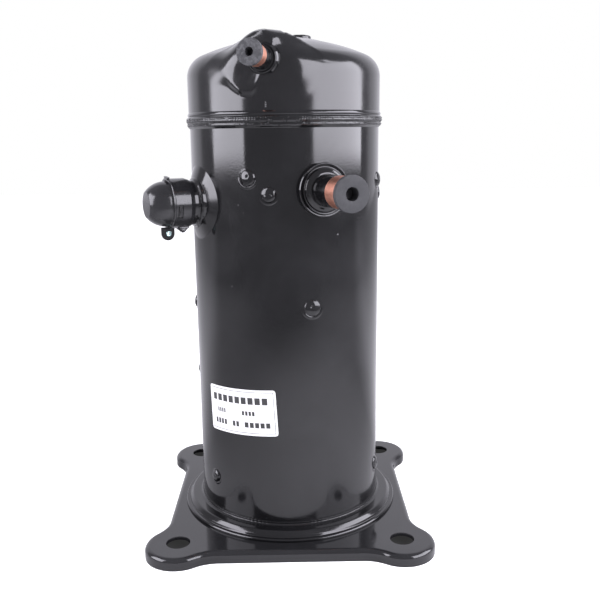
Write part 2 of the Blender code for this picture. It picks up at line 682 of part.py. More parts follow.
def crankshaft():
    section = [(0, 36 * MM), (9 * MM, 36 * MM), (9 * MM, 60 * MM), (SHAFT_R, 61 * MM), (SHAFT_R, 250 * MM),
               (14 * MM, 251 * MM), (14 * MM, 288 * MM), (0, 288 * MM)]
    shaft = turned("crankshaft", section, BARE_STEEL, segments=32)
    join(shaft, rod("crank_pin", 7 * MM, 285 * MM, 314 * MM, None, Matrix.Translation((0, ORBIT, 0)), SMALL))
    cut(shaft, rod("oil_bore", 2.5 * MM, 30 * MM, 320 * MM, None, None, FINE))


def oil_pickup():
    section = [(7 * MM, 35.7 * MM), (8.6 * MM, 35.7 * MM), (8.6 * MM, 27 * MM), (4.4 * MM, 12 * MM),
               (2.6 * MM, 12 * MM), (7 * MM, 27.4 * MM)]
    turned("oil_pickup", section, BARE_STEEL, segments=SMALL)


def slot_angles():
    half = SLOT_HALF
    edge = SLOT_EDGE
    angles = []
    for slot in range(SLOTS):
        middle = 2 * math.pi * slot / SLOTS + math.pi / SLOTS
        angles += [middle - half - edge, middle - half, middle + half, middle + half + edge]
    return angles


def stator():
    def inner(angle):
        pitch = 2 * math.pi / SLOTS
        offset = abs((angle % pitch) - pitch / 2)
        return 62 * MM if offset < SLOT_HALF + SLOT_EDGE / 2 else STATOR_BORE_R
    low, high = STATOR_Z
    section = [(inner, low), (BORE_R - GAP, low), (BORE_R - GAP, high), (inner, high)]
    turned("stator_core", section, BARE_STEEL, angles=slot_angles())
    for name, base, top in (("lower_winding", 72 * MM, low - GAP), ("upper_winding", high + GAP, 234 * MM)):
        corner = 5 * MM
        inside = 49 * MM
        outside = 70 * MM
        turned(name, [(inside, base + corner), (inside + corner, base), (outside - corner, base),
                      (outside, base + corner), (outside, top - corner), (outside - corner, top),
                      (inside + corner, top), (inside, top - corner)], COIL, segments=24)
    place = Matrix.Translation((*polar(59.5 * MM, 100), 0)) @ Matrix.Rotation(math.radians(100), 4, "Z")
    block("motor_protector", (26 * MM, 12 * MM, 9 * MM), (0, 0, 239 * MM), BLACK_PLASTIC, place)


def rotor():
    low, high = STATOR_Z
    shaft = SHAFT_R + GAP
    ring("rotor_core", shaft, ROTOR_R, low, high, BARE_STEEL, segments=MEDIUM)
    ring("lower_end_ring", 27 * MM, 44 * MM, low - 14 * MM, low - GAP, ALUMINIUM, segments=MEDIUM)
    ring("upper_end_ring", 27 * MM, 44 * MM, high + GAP, high + 14 * MM, ALUMINIUM, segments=MEDIUM)
    counterweight("lower_counterweight", 1, low - 30 * MM, low - 14.3 * MM)
    counterweight("upper_counterweight", -1, high + 14.3 * MM, high + 30 * MM)


def counterweight(name, side, low, high):
    outline = arc((0, 0), 42 * MM, 15, 165, 12) + arc((0, 0), SHAFT_R + GAP, 165, 15, 8)
    prism(name, [(side * x, side * y) for x, y in outline], low, high, BRONZE)


def lower_frame():
    arm_half = 13 * MM
    arms = (math.radians(30), math.radians(150), math.radians(270))

    def spider(angle):
        reach = 21 * MM
        for arm in arms:
            offset = (angle - arm + math.pi) % (2 * math.pi) - math.pi
            if abs(offset) < math.pi / 2:
                across = abs(math.sin(offset))
                reach = max(reach, min(BORE_R - GAP, arm_half / max(across, 1e-6)))
        return reach
    angles = []
    spread = math.asin(arm_half / BORE_R)
    for arm in arms:
        steps = (-1.0, -0.62, -0.3, -spread, 0, spread, 0.3, 0.62, 1.0)
        angles += [arm + step for step in steps]
    section = [(12.3 * MM, 42 * MM), (spider, 42 * MM), (spider, 56 * MM), (12.3 * MM, 56 * MM)]
    turned("lower_frame", section, CAST_IRON, angles=angles)
    ring("lower_bearing_bush", 9.3 * MM, 12.0 * MM, 42 * MM, 56 * MM, BRONZE, segments=SMALL)
    rod("sump_magnet", 11 * MM, 2.9 * MM, 7 * MM, BARE_STEEL, Matrix.Translation((44 * MM, -12 * MM, 0)), 20)


def main():
    clear_scene()
    main_shell()
    top_cap()
    top_seam_weld()
    bottom_cap()
    base_weld()
    base_plate()
    cap_button()
    separator_plate()
    suction_fittings()
    discharge_fittings()
    terminal_fittings()
    rating_label()
    fixed_scroll()
    orbiting_scroll()
    oldham_ring()
    main_frame()
    frame_bolts()
    drive_bushes()
    discharge_valves()
    crankshaft()
    oil_pickup()
    stator()
    rotor()
    lower_frame()


main()
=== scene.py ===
"""Finish and detail of a hermetic refrigeration scroll compressor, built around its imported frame."""

import json
import math

import bmesh
import bpy
import numpy as np
from bpy.props import FloatProperty, FloatVectorProperty, PointerProperty
from mathutils import Matrix, Vector, noise


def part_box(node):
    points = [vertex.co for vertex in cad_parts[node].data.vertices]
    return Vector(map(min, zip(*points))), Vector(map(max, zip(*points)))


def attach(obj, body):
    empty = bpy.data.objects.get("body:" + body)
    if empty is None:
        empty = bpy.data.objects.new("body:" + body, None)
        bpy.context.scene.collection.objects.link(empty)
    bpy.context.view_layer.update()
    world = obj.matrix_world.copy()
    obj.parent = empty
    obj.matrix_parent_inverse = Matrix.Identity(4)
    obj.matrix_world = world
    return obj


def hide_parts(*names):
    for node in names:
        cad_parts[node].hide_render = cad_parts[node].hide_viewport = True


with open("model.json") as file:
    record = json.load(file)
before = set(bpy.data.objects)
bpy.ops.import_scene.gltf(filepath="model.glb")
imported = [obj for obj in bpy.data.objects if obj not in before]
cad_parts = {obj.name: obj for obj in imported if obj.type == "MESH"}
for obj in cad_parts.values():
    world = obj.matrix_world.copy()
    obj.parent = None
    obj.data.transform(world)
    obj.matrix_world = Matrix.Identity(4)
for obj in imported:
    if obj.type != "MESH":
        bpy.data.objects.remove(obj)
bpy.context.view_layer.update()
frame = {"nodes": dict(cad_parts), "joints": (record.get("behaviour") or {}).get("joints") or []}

bl_info = {
    "name": "Hermetic scroll compressor",
    "version": (1, 0, 0),
    "blender": (4, 5, 0),
    "location": "3D View > Sidebar > Compressor",
    "description": "Builds the painted can, fittings, cover, label and stage of a refrigeration compressor",
    "category": "Object",
}

MM = 0.001
UP = Vector((0, 0, 1))
AROUND = 288  # points round a large turned piece
ROUND_STEPS = 4
CREASE = math.radians(34)
JOINTS = {joint["name"]: joint for joint in frame["joints"]}


def middle(node):
    low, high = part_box(node)
    return (low + high) / 2


# Where the fittings stand, from the frame. Sections are in millimetres.

SHELL_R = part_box("main_shell")[1].x / MM
SHELL_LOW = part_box("main_shell")[0].z / MM
SHELL_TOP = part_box("main_shell")[1].z / MM
SHELL_WALL = 3.0
BORE_R = SHELL_R - SHELL_WALL
CAP_R = SHELL_R + 0.7
CAP_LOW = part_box("top_cap")[0].z / MM
CAP_WALL_TOP = CAP_LOW + 34.2
CAP_SHOULDER = 19.05
CAP_APEX = 428.0
CROWN_R = 180.3
CAP_WALL = 3.0
BOSS_BACK = 60.0  # how far inside its face the boss is spread from
STUB_MIDDLE = 8.1  # from the face of the boss to the middle of its stub
PLATE_TOP = 10.4
PLATE_T = 2.8
FOOT_PITCH = 190.5
FOOT_HOLE_R = 9.85
EAR_R = 28.0
PLATE_SIDE = 108.0
PLATE_FRONT = 112.5
PLATE_BLEND = 34.0
SUCTION_AXIS = Vector(JOINTS["suction_plug_pull"]["axis"])
DISCHARGE_AXIS = Vector(JOINTS["discharge_plug_pull"]["axis"])
COVER_AXIS = Vector(JOINTS["cover_pull_off"]["axis"])
SUCTION_FOOT = Vector((0, 0, middle("suction_stub").z))
COVER_FOOT = Vector((0, 0, middle("terminal_header").z))
DISCHARGE_FOOT = middle("discharge_stub") - DISCHARGE_AXIS * STUB_MIDDLE * MM


def outward(axis, foot):
    """Frame at foot whose Z runs along axis, with X pointing down."""
    axis = axis.normalized()
    down = -(UP - axis * axis.z).normalized()
    side = axis.cross(down)
    turn = Matrix((down, side, axis)).transposed().to_4x4()
    return Matrix.Translation(foot) @ turn


# Sizes and colours to change

def colour(name, description, default):
    return FloatVectorProperty(name=name, description=description, default=default, subtype="COLOR",
                               min=0, max=1)


def length(name, description, default, low, high):
    """A length whose default and limits are given in millimetres."""
    return FloatProperty(name=name, description=description, default=default * MM, min=low * MM, max=high * MM,
                         unit="LENGTH")


class ShellSettings(bpy.types.PropertyGroup):
    paint: colour("Paint", "Colour of the black enamel", (0.004, 0.004, 0.0045))
    dust: colour("Dust", "Colour of the haze lying on the enamel", (0.014, 0.014, 0.015))
    gloss: FloatProperty(name="Roughness", description="Roughness of the enamel where it is clean",
                         default=0.055, min=0, max=1, subtype="FACTOR")
    bead_ripple: length("Bead ripple", "Height of the ripples on the weld beads", 0.16, 0, 0.6)
    nugget_height: length("Nugget height", "How far the plug welds stand off the shell", 2.5, 0.5, 2.6)


class FittingSettings(bpy.types.PropertyGroup):
    copper: colour("Copper", "Colour of the bare copper", (0.93, 0.47, 0.34))
    tarnish: colour("Tarnish", "Colour of the tarnished copper", (0.74, 0.33, 0.23))
    rubber: colour("Rubber", "Colour of the plugs", (0.030, 0.0305, 0.033))
    suction_bare: length("Suction bare from", "Where the suction stub's paint ends, from the shell's axis",
                         114.5, 0, 200)
    discharge_bare: length("Discharge bare from", "Where the discharge stub's paint ends, from the boss",
                           16.5, 0, 100)


class CoverSettings(bpy.types.PropertyGroup):
    plastic: colour("Plastic", "Colour of the moulded cover", (0.010, 0.010, 0.011))
    eyelet: colour("Eyelet", "Colour of the plated eyelet", (0.42, 0.58, 0.56))
    latch_length: length("Latch window", "Length of the latch window round the skirt", 11.6, 4, 16)


class LabelSettings(bpy.types.PropertyGroup):
    width: length("Width", "Width of the label round the shell", 69, 20, 69)
    height: length("Height", "Height of the label", 40.5, 10, 40.5)
    lean: FloatProperty(name="Lean", description="Angle by which the label is stuck on askew",
                        default=math.radians(3.2), min=-0.1, max=0.1, unit="ROTATION", subtype="ANGLE")
    paper: colour("Paper", "Colour of the label's film", (0.86, 0.86, 0.85))
    ink: colour("Ink", "Colour of the printed bars", (0.035, 0.035, 0.035))


class WorksSettings(bpy.types.PropertyGroup):
    iron: colour("Iron", "Colour of the cast iron", (0.15, 0.15, 0.16))
    steel: colour("Steel", "Colour of the bare steel", (0.46, 0.46, 0.47))
    wire: colour("Wire", "Colour of the enamelled winding wire", (0.42, 0.13, 0.05))


class StageSettings(bpy.types.PropertyGroup):
    floor: colour("Floor", "Colour of the floor", (0.86, 0.86, 0.86))
    softbox: FloatProperty(name="Softboxes", description="Brightness of the two softboxes",
                           default=8.8, min=0, max=40)
    room: FloatProperty(name="Room", description="Brightness of the room behind the camera",
                        default=0.5, min=0, max=4)
    lens: FloatProperty(name="Lens", description="Focal length of the camera", default=46.629, min=10, max=200,
                        subtype="DISTANCE_CAMERA")


# Shader groups

class Net:
    """Adds nodes to one node tree and joins them."""

    def __init__(self, tree):
        self.tree = tree

    def node(self, kind, sockets=(), **settings):
        made = self.tree.nodes.new(kind)
        for key, value in settings.items():
            setattr(made, key, value)
        for key, value in dict(sockets).items():
            self.feed(made.inputs[key], value)
        return made

    def feed(self, socket, value):
        if isinstance(value, bpy.types.NodeSocket):
            self.tree.links.new(value, socket)
        else:
            socket.default_value = value

    def math(self, operation, first, second=0.0, third=0.0, clamp=False):
        return self.node("ShaderNodeMath", {0: first, 1: second, 2: third}, operation=operation,
                         use_clamp=clamp).outputs[0]

    def vector(self, operation, first, second):
        return self.node("ShaderNodeVectorMath", {0: first, 1: second}, operation=operation).outputs[0]

    def distance(self, first, second):
        return self.node("ShaderNodeVectorMath", {0: first, 1: second}, operation="DISTANCE").outputs["Value"]

    def noise(self, place, scale, detail=2.0, roughness=0.5, stretch=0.0):
        return self.node("ShaderNodeTexNoise", {"Vector": place, "Scale": scale, "Detail": detail,
                                                "Roughness": roughness, "Distortion": stretch}).outputs["Fac"]

    def span(self, value, low, high, to_low=0.0, to_high=1.0, smooth=False):
        kind = "SMOOTHSTEP" if smooth else "LINEAR"
        return self.node("ShaderNodeMapRange", {"Value": value, "From Min": low, "From Max": high,
                                                "To Min": to_low, "To Max": to_high},
                         interpolation_type=kind).outputs["Result"]

    def blend(self, share, first, second):
        mix = self.node("ShaderNodeMix", data_type="RGBA")
        for socket, value in ((mix.inputs[0], share), (mix.inputs[6], first), (mix.inputs[7], second)):
            self.feed(socket, value)
        return mix.outputs[2]

    def place(self):
        return self.node("ShaderNodeTexCoord").outputs["Object"]


def shader_group(name, inputs, outputs, fill):
    """A shader node group with named number or vector inputs, filled in by fill(net, inputs)."""
    if name in bpy.data.node_groups:
        return bpy.data.node_groups[name]
    tree = bpy.data.node_groups.new(name, "ShaderNodeTree")
    for label, default in inputs.items():
        kind = "NodeSocketVector" if isinstance(default, tuple) else "NodeSocketFloat"
        tree.interface.new_socket(label, in_out="INPUT", socket_type=kind).default_value = default
    for label in outputs:
        tree.interface.new_socket(label, in_out="OUTPUT", socket_type="NodeSocketFloat")
    net = Net(tree)
    source = net.node("NodeGroupInput")
    target = net.node("NodeGroupOutput")
    results = fill(net, source.outputs)
    for label in outputs:
        net.feed(target.inputs[label], results[label])
    return tree


def fill_enamel(net, given):
    """Sprayed enamel: orange peel, dried nibs and a cloudy haze of dust."""
    place = net.place()
    peel = net.noise(place, given["Peel"], 1.5, 0.45)
    grain = net.noise(place, given["Grain"], 2.0, 0.6)
    cloud = net.noise(place, 14.0, 5.0, 0.6, 0.4)
    cell = net.node("ShaderNodeTexVoronoi", {"Vector": place, "Scale": given["Nibs"], "Randomness": 1.0})
    lot = net.node("ShaderNodeSeparateColor", {"Color": cell.outputs["Color"]}).outputs[0]
    chosen = net.math("GREATER_THAN", lot, 0.72)
    nib = net.math("MULTIPLY", net.span(cell.outputs["Distance"], 0.05, 0.11, 1.0, 0.0, True), chosen)
    fine = net.math("MULTIPLY", grain, given["Grain height"])
    height = net.math("ADD", net.math("ADD", peel, fine), net.math("MULTIPLY", nib, 0.9))
    return {"Height": height, "Haze": net.span(cloud, 0.38, 0.72, 0.0, 1.0, True), "Nib": nib}


def fill_scuff(net, given):
    """Short scuffs and rubbed spots."""
    place = net.vector("MULTIPLY", net.place(), given["Stretch"])
    broad = net.noise(place, 22.0, 3.0, 0.6)
    streak = net.noise(place, given["Size"], 4.0, 0.7, 0.6)
    mark = net.span(net.math("MULTIPLY", broad, streak), given["Limit"], net.math("ADD", given["Limit"], 0.05))
    return {"Mask": mark}


def fill_turned(net, given):
    """Fine tool lines and blotches on worked metal."""
    place = net.place()
    line = net.noise(net.vector("MULTIPLY", place, given["Stretch"]), 1.0, 3.0, 0.65)
    blotch = net.noise(place, given["Blotch"], 4.0, 0.6, 0.3)
    tone = net.math("ADD", net.math("MULTIPLY", line, 0.45), net.math("MULTIPLY", blotch, 0.55))
    return {"Height": line, "Tone": net.span(tone, 0.32, 0.68, 0.0, 1.0, True)}


def fill_cast(net, given):
    """Sand-cast skin or moulded rubber: pits over a rolling surface."""
    place = net.place()
    coarse = net.noise(place, given["Coarse"], 5.0, 0.65)
    pit = net.node("ShaderNodeTexVoronoi", {"Vector": place, "Scale": given["Pits"]}).outputs["Distance"]
    height = net.math("ADD", coarse, net.math("MULTIPLY", pit, 0.4))
    tone = net.math("ADD", net.math("MULTIPLY", net.noise(place, 60.0, 4.0, 0.6), 0.6),
                    net.math("MULTIPLY", coarse, 0.4))
    return {"Height": height, "Tone": net.span(tone, 0.34, 0.66, 0.0, 1.0, True)}


def fill_layers(net, given):
    """Stacked steel sheets, or turns of wire, across one direction."""
    place = net.place()
    bent = net.vector("MULTIPLY", place, given["Across"])
    wave = net.node("ShaderNodeTexWave", {"Vector": bent, "Scale": given["Count"], "Distortion": given["Wander"],
                                          "Detail": 2.0, "Detail Scale": 3.0},
                    wave_type="BANDS", bands_direction="DIAGONAL", wave_profile="SIN").outputs["Fac"]
    rust = net.noise(place, 45.0, 4.0, 0.6)
    tone = net.math("ADD", net.math("MULTIPLY", wave, 0.5), net.math("MULTIPLY", rust, 0.5))
    return {"Height": wave, "Tone": net.span(tone, 0.2, 0.8)}


GROUPS = {
    "Enamel skin": ({"Peel": 420.0, "Grain": 2600.0, "Grain height": 0.12, "Nibs": 150.0},
                    ("Height", "Haze", "Nib"), fill_enamel),
    "Scuff marks": ({"Size": 320.0, "Limit": 0.36, "Stretch": (1.0, 1.0, 1.0)}, ("Mask",), fill_scuff),
    "Turned lines": ({"Stretch": (300.0, 300.0, 4000.0), "Blotch": 70.0}, ("Height", "Tone"), fill_turned),
    "Cast skin": ({"Coarse": 500.0, "Pits": 900.0}, ("Height", "Tone"), fill_cast),
    "Stacked layers": ({"Across": (0.0, 0.0, 1.0), "Count": 320.0, "Wander": 0.0},
                       ("Height", "Tone"), fill_layers),
}


def effect(net, name, **values):
    """One of the shader groups placed in a material, with its own values."""
    inputs, outputs, fill = GROUPS[name]
    node = net.node("ShaderNodeGroup", node_tree=shader_group(name, inputs, outputs, fill))
    for label, value in values.items():
        net.feed(node.inputs[label.replace("_", " ")], value)
    return node.outputs


def new_finish(name):
    """An empty material with its shader, and the net to fill it."""
    made = bpy.data.materials.new(name)
    made.use_nodes = True
    shader = made.node_tree.nodes["Principled BSDF"]
    return made, Net(made.node_tree), shader.inputs


def rgba(colour):
    return (*colour[:3], 1.0)


def raise_bump(net, sockets, height, distance, strength=1.0):
    bump = net.node("ShaderNodeBump", {"Height": height, "Distance": distance, "Strength": strength})
    net.feed(sockets["Normal"], bump.outputs["Normal"])


CLOUDY_HAZE = 0.55


def enamel_finish(name, peel_height, gloss_change, scuffs=0.0, peel=420.0, haze=CLOUDY_HAZE):
    """Black enamel over steel, with haze, nibs and, where asked, rubbed scuffs.

    Haze up to CLOUDY_HAZE lies in clouds, and what goes beyond it lies evenly.
    """
    settings = bpy.context.scene.compressor_shell
    made, net, sockets = new_finish(name)
    skin = effect(net, "Enamel skin", Peel=peel)
    cloudy = net.math("MULTIPLY", skin["Haze"], min(haze, CLOUDY_HAZE))
    share = net.math("ADD", cloudy, max(haze - CLOUDY_HAZE, 0), clamp=True)
    coat = net.blend(share, rgba(settings.paint), rgba(settings.dust))
    smooth = settings.gloss + gloss_change
    rough = net.span(skin["Haze"], 0.0, 1.0, smooth, smooth + 0.07)
    if scuffs:
        rub = effect(net, "Scuff marks", Limit=scuffs)["Mask"]
        coat = net.blend(net.math("MULTIPLY", rub, 0.8), coat, (0.10, 0.10, 0.10, 1.0))
        rough = net.math("ADD", rough, net.math("MULTIPLY", rub, 0.3), clamp=True)
    net.feed(sockets["Base Color"], coat)
    net.feed(sockets["Roughness"], rough)
    raise_bump(net, sockets, skin["Height"], peel_height * MM)
    return made


PAINT_EDGE = 0.5 * MM


def painted_pipe_finish(name, bare_from):
    """Copper pipe whose root is under enamel, with a wavy paint edge."""
    shell = bpy.context.scene.compressor_shell
    fitting = bpy.context.scene.compressor_fittings
    made, net, sockets = new_finish(name)
    place = net.place()
    height = net.node("ShaderNodeSeparateXYZ", {"Vector": place}).outputs["Z"]
    wander = net.math("MULTIPLY", net.math("SUBTRACT", net.noise(place, 160.0, 2.0), 0.5), 1.6 * MM)
    bare = net.span(net.math("ADD", height, wander), bare_from - PAINT_EDGE, bare_from + PAINT_EDGE)
    metal = effect(net, "Turned lines", Stretch=(500.0, 500.0, 90.0), Blotch=210.0)
    skin = effect(net, "Enamel skin")
    copper = net.blend(metal["Tone"], rgba(fitting.tarnish), rgba(fitting.copper))
    paint = net.blend(net.math("MULTIPLY", skin["Haze"], 0.6), rgba(shell.paint), rgba(shell.dust))
    net.feed(sockets["Base Color"], net.blend(bare, paint, copper))
    net.feed(sockets["Metallic"], bare)
    net.feed(sockets["Roughness"], net.math("ADD", net.math("MULTIPLY", bare, 0.2),
                                            net.span(metal["Tone"], 0.0, 1.0, 0.2, 0.13)))
    raise_bump(net, sockets, net.math("ADD", metal["Height"], net.math("MULTIPLY", bare, -2.5)), 0.05 * MM)
    return made


def metal_finish(name, colour, second, rough, group="Turned lines", bump=0.01, metallic=1.0, **values):
    """Worked or cast metal: two tones, two roughnesses and a bump from one shader group."""
    made, net, sockets = new_finish(name)
    skin = effect(net, group, **values)
    net.feed(sockets["Base Color"], net.blend(skin["Tone"], rgba(second), rgba(colour)))
    net.feed(sockets["Roughness"], net.span(skin["Tone"], 0.0, 1.0, rough[1], rough[0]))
    sockets["Metallic"].default_value = metallic
    raise_bump(net, sockets, skin["Height"], bump * MM)
    return made


def rubber_finish(name, chalk):
    """Moulded rubber with a chalky bloom."""
    fitting = bpy.context.scene.compressor_fittings
    made, net, sockets = new_finish(name)
    skin = effect(net, "Cast skin", Coarse=900.0, Pits=2600.0)
    bloom = net.noise(net.place(), 330.0, 5.0, 0.75, 0.5)
    share = net.math("MULTIPLY", net.span(bloom, 0.42, 0.62, 0.0, 1.0, True), chalk)
    net.feed(sockets["Base Color"], net.blend(share, rgba(fitting.rubber), (0.13, 0.13, 0.135, 1.0)))
    net.feed(sockets["Roughness"], net.span(skin["Tone"], 0.0, 1.0, 0.62, 0.78))
    raise_bump(net, sockets, skin["Height"], 0.03 * MM)
    return made


def plastic_finish(name, gloss=0.14):
    """Glossy moulded plastic with faint flow marks and dust."""
    cover = bpy.context.scene.compressor_cover
    made, net, sockets = new_finish(name)
    skin = effect(net, "Enamel skin", Peel=260.0, Grain=1800.0, Nibs=260.0)
    share = net.math("ADD", net.math("MULTIPLY", skin["Haze"], 0.35), net.math("MULTIPLY", skin["Nib"], 0.6))
    net.feed(sockets["Base Color"], net.blend(share, rgba(cover.plastic), (0.04, 0.04, 0.042, 1.0)))
    net.feed(sockets["Roughness"], net.span(skin["Haze"], 0.0, 1.0, gloss, gloss + 0.08))
    raise_bump(net, sockets, skin["Height"], 0.02 * MM)
    return made


def film_finish(name, colour, rough):
    """Printed film: a faint mottle and a slightly uneven face."""
    made, net, sockets = new_finish(name)
    skin = effect(net, "Cast skin", Coarse=240.0, Pits=1500.0)
    shade = tuple(part * 0.93 for part in colour)
    net.feed(sockets["Base Color"], net.blend(skin["Tone"], rgba(shade), rgba(colour)))
    net.feed(sockets["Roughness"], net.span(skin["Tone"], 0.0, 1.0, rough, rough + 0.1))
    raise_bump(net, sockets, skin["Height"], 0.012 * MM)
    return made


def glass_finish(name):
    """Green sealing glass round a terminal pin."""
    made, net, sockets = new_finish(name)
    skin = effect(net, "Cast skin", Coarse=500.0, Pits=700.0)
    net.feed(sockets["Base Color"], net.blend(skin["Tone"], (0.10, 0.26, 0.19, 1), (0.18, 0.38, 0.28, 1)))
    net.feed(sockets["Roughness"], net.span(skin["Tone"], 0.0, 1.0, 0.05, 0.16))
    sockets["Transmission Weight"].default_value = 0.6
    return made


def finish(name):
    """The named finish, made when it is first asked for."""
    if name in bpy.data.materials:
        return bpy.data.materials[name]
    scene = bpy.context.scene
    fitting, works = scene.compressor_fittings, scene.compressor_works
    steel, iron = tuple(works.steel), tuple(works.iron)
    makers = {
        "Can enamel": lambda: enamel_finish(name, 0.014, 0.035, peel=700.0),
        "Cap enamel": lambda: enamel_finish(name, 0.014, 0.07, haze=0.8),
        "Bead enamel": lambda: enamel_finish(name, 0.03, 0.0, peel=900.0),
        "Base enamel": lambda: enamel_finish(name, 0.010, 0.02, scuffs=0.47, haze=1.2),
        "Sump enamel": lambda: enamel_finish(name, 0.010, 0.03, scuffs=0.50),
        "Suction pipe": lambda: painted_pipe_finish(name, fitting.suction_bare),
        "Discharge pipe": lambda: painted_pipe_finish(name, fitting.discharge_bare),
        "Suction plug rubber": lambda: rubber_finish(name, 0.06),
        "Discharge plug rubber": lambda: rubber_finish(name, 0.5),
        "Seal rubber": lambda: rubber_finish(name, 0.3),
        "Cover plastic": lambda: plastic_finish(name),
        "Latch plastic": lambda: plastic_finish(name, 0.3),
        "Label film": lambda: film_finish(name, tuple(scene.compressor_label.paper), 0.38),
        "Label ink": lambda: film_finish(name, tuple(scene.compressor_label.ink), 0.45),
        "Eyelet plate": lambda: metal_finish(name, tuple(scene.compressor_cover.eyelet), (0.35, 0.46, 0.46),
                                             (0.16, 0.34), Stretch=(900.0, 900.0, 900.0), Blotch=400.0),
        "Pin copper": lambda: metal_finish(name, tuple(fitting.copper), tuple(fitting.tarnish), (0.2, 0.36),
                                           Stretch=(600.0, 600.0, 90.0), Blotch=160.0),
        "Machined steel": lambda: metal_finish(name, steel, (0.30, 0.30, 0.31), (0.22, 0.4)),
        "Cast iron": lambda: metal_finish(name, iron, (0.07, 0.07, 0.075), (0.5, 0.7), "Cast skin", 0.12, 0.8),
        "Core sheets": lambda: metal_finish(name, (0.24, 0.24, 0.25), (0.11, 0.11, 0.12), (0.38, 0.6),
                                            "Stacked layers", 0.08, 0.9, Count=300.0),
        "Coil wire": lambda: metal_finish(name, tuple(works.wire), (0.20, 0.05, 0.02), (0.28, 0.5),
                                          "Stacked layers", 0.4, 0.5, Across=(0.7, 0.7, 1.0), Count=160.0,
                                          Wander=3.0),
        "Cast aluminium": lambda: metal_finish(name, (0.62, 0.63, 0.64), (0.42, 0.43, 0.44), (0.34, 0.52),
                                               "Cast skin", 0.05),
        "Bearing bronze": lambda: metal_finish(name, (0.55, 0.36, 0.15), (0.34, 0.20, 0.08), (0.26, 0.42)),
        "Pin glass": lambda: glass_finish(name),
    }
    return makers[name]()


# Mesh building

class Skin:
    """Points and faces gathered for one piece, each face with its finish's number."""

    def __init__(self):
        self.points, self.faces, self.finishes = [], [], []

    def rings(self, rings, around=True, closed=True, finish_number=0):
        """Joins rings of points with faces. A ring of one point is a pole."""
        starts = []
        for ring in rings:
            starts.append(len(self.points))
            self.points.extend(tuple(point) for point in ring)
        pairs = [(index, index + 1) for index in range(len(rings) - 1)]
        if closed:
            pairs.append((len(rings) - 1, 0))
        for first, second in pairs:
            sizes = len(rings[first]), len(rings[second])
            if max(sizes) == 1:
                continue
            count = max(sizes) if around else max(sizes) - 1
            for step in range(count):
                after = (step + 1) % max(sizes)
                corners = []
                for ring, order in ((first, (step, after)), (second, (after, step))):
                    if len(rings[ring]) == 1:
                        corners.append(starts[ring])
                    else:
                        corners.extend(starts[ring] + position for position in order)
                self.faces.append(corners)
                self.finishes.append(finish_number)
        return self

    def turned(self, section, count=AROUND, warp=None, finish_number=0):
        """A section of (radius, height) in millimetres, turned about the Z axis."""
        angles = np.arange(count) * 2 * math.pi / count
        rings = []
        for radius, height in section:
            if radius == 0:
                rings.append(np.array([[0, 0, height]]))
            else:
                rings.append(np.stack([radius * np.cos(angles), radius * np.sin(angles),
                                       np.full(count, height)], axis=1))
        if warp:
            rings = [warp(ring) if len(ring) > 1 else ring for ring in rings]
        return self.rings([ring * MM for ring in rings], finish_number=finish_number)


def softened(section, steps=ROUND_STEPS):
    """A section with its corners rounded; a point's third number is the radius of its corner."""
    soft = []
    count = len(section)
    for index, corner in enumerate(section):
        point = np.array(corner[:2], float)
        if len(corner) < 3:
            soft.append(tuple(point))
            continue
        before = np.array(section[index - 1][:2], float) - point
        after = np.array(section[(index + 1) % count][:2], float) - point
        lengths = np.linalg.norm(before), np.linalg.norm(after)
        before, after = before / lengths[0], after / lengths[1]
        half = math.acos(float(np.clip(before @ after, -0.999999, 0.999999))) / 2
        reach = min(corner[2] / math.tan(half), 0.48 * lengths[0], 0.48 * lengths[1])
        for share in np.linspace(0, 1, steps + 1):
            start, end = point + before * reach, point + after * reach
            bent = start * (1 - share) ** 2 + point * 2 * share * (1 - share) + end * share ** 2
            soft.append(tuple(bent))
    return soft


def link(name, data):
    made = bpy.data.objects.new(name, data)
    bpy.context.scene.collection.objects.link(made)
    return made


def mesh_of(name, skin, finishes=()):
    """A mesh of a skin with its finishes, its faces turned outwards."""
    mesh = bpy.data.meshes.new(name)
    mesh.from_pydata(skin.points, [], skin.faces)
    mesh.polygons.foreach_set("material_index", skin.finishes)
    for label in finishes:
        mesh.materials.append(finish(label))
    shape = bmesh.new()
    shape.from_mesh(mesh)
    bmesh.ops.recalc_face_normals(shape, faces=shape.faces)
    shape.to_mesh(mesh)
    shape.free()
    return mesh


def make_piece(name, skin, finishes, body, nodes=(), place=None, cutters=(), crease=CREASE,
               settled=False):
    """Turns a skin into a piece that rides on a body and stands for CAD nodes.

    A settled piece has its place taken into its mesh.
    """
    mesh = mesh_of(name, skin, finishes)
    piece = link(name, mesh)
    if settled:
        mesh.transform(place)
    elif place is not None:
        piece.matrix_world = place
    for cutter in cutters:
        drill(piece, cutter)
    mesh = piece.data
    mesh.polygons.foreach_set("use_smooth", [True] * len(mesh.polygons))
    mesh.set_sharp_from_angle(angle=crease)
    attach(piece, body)
    if nodes:
        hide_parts(*nodes)
    return piece


def drill(piece, cutter):
    """Cuts a closed cutter skin, given with its place, out of a piece."""
    skin, place = cutter
    mesh = mesh_of("cutter", skin)
    tool = link("cutter", mesh)
    tool.matrix_world = place
    hole = piece.modifiers.new("hole", "BOOLEAN")
    hole.operation, hole.solver, hole.object = "DIFFERENCE", "EXACT", tool
    bpy.context.view_layer.update()
    cut = bpy.data.meshes.new_from_object(piece.evaluated_get(bpy.context.evaluated_depsgraph_get()))
    piece.modifiers.clear()
    old, piece.data = piece.data, cut
    cut.name = old.name
    bpy.data.meshes.remove(old)
    bpy.data.objects.remove(tool)
    bpy.data.meshes.remove(mesh)


def bore(radius, low, high, place, count=64):
    """A round cutter for drill, from low to high along its place's Z, in millimetres."""
    return Skin().turned([(0, low), (radius, low), (radius, high), (0, high)], count), place


def ripple(x, y, z, scale):
    return noise.noise(Vector((x, y, z)) * scale)


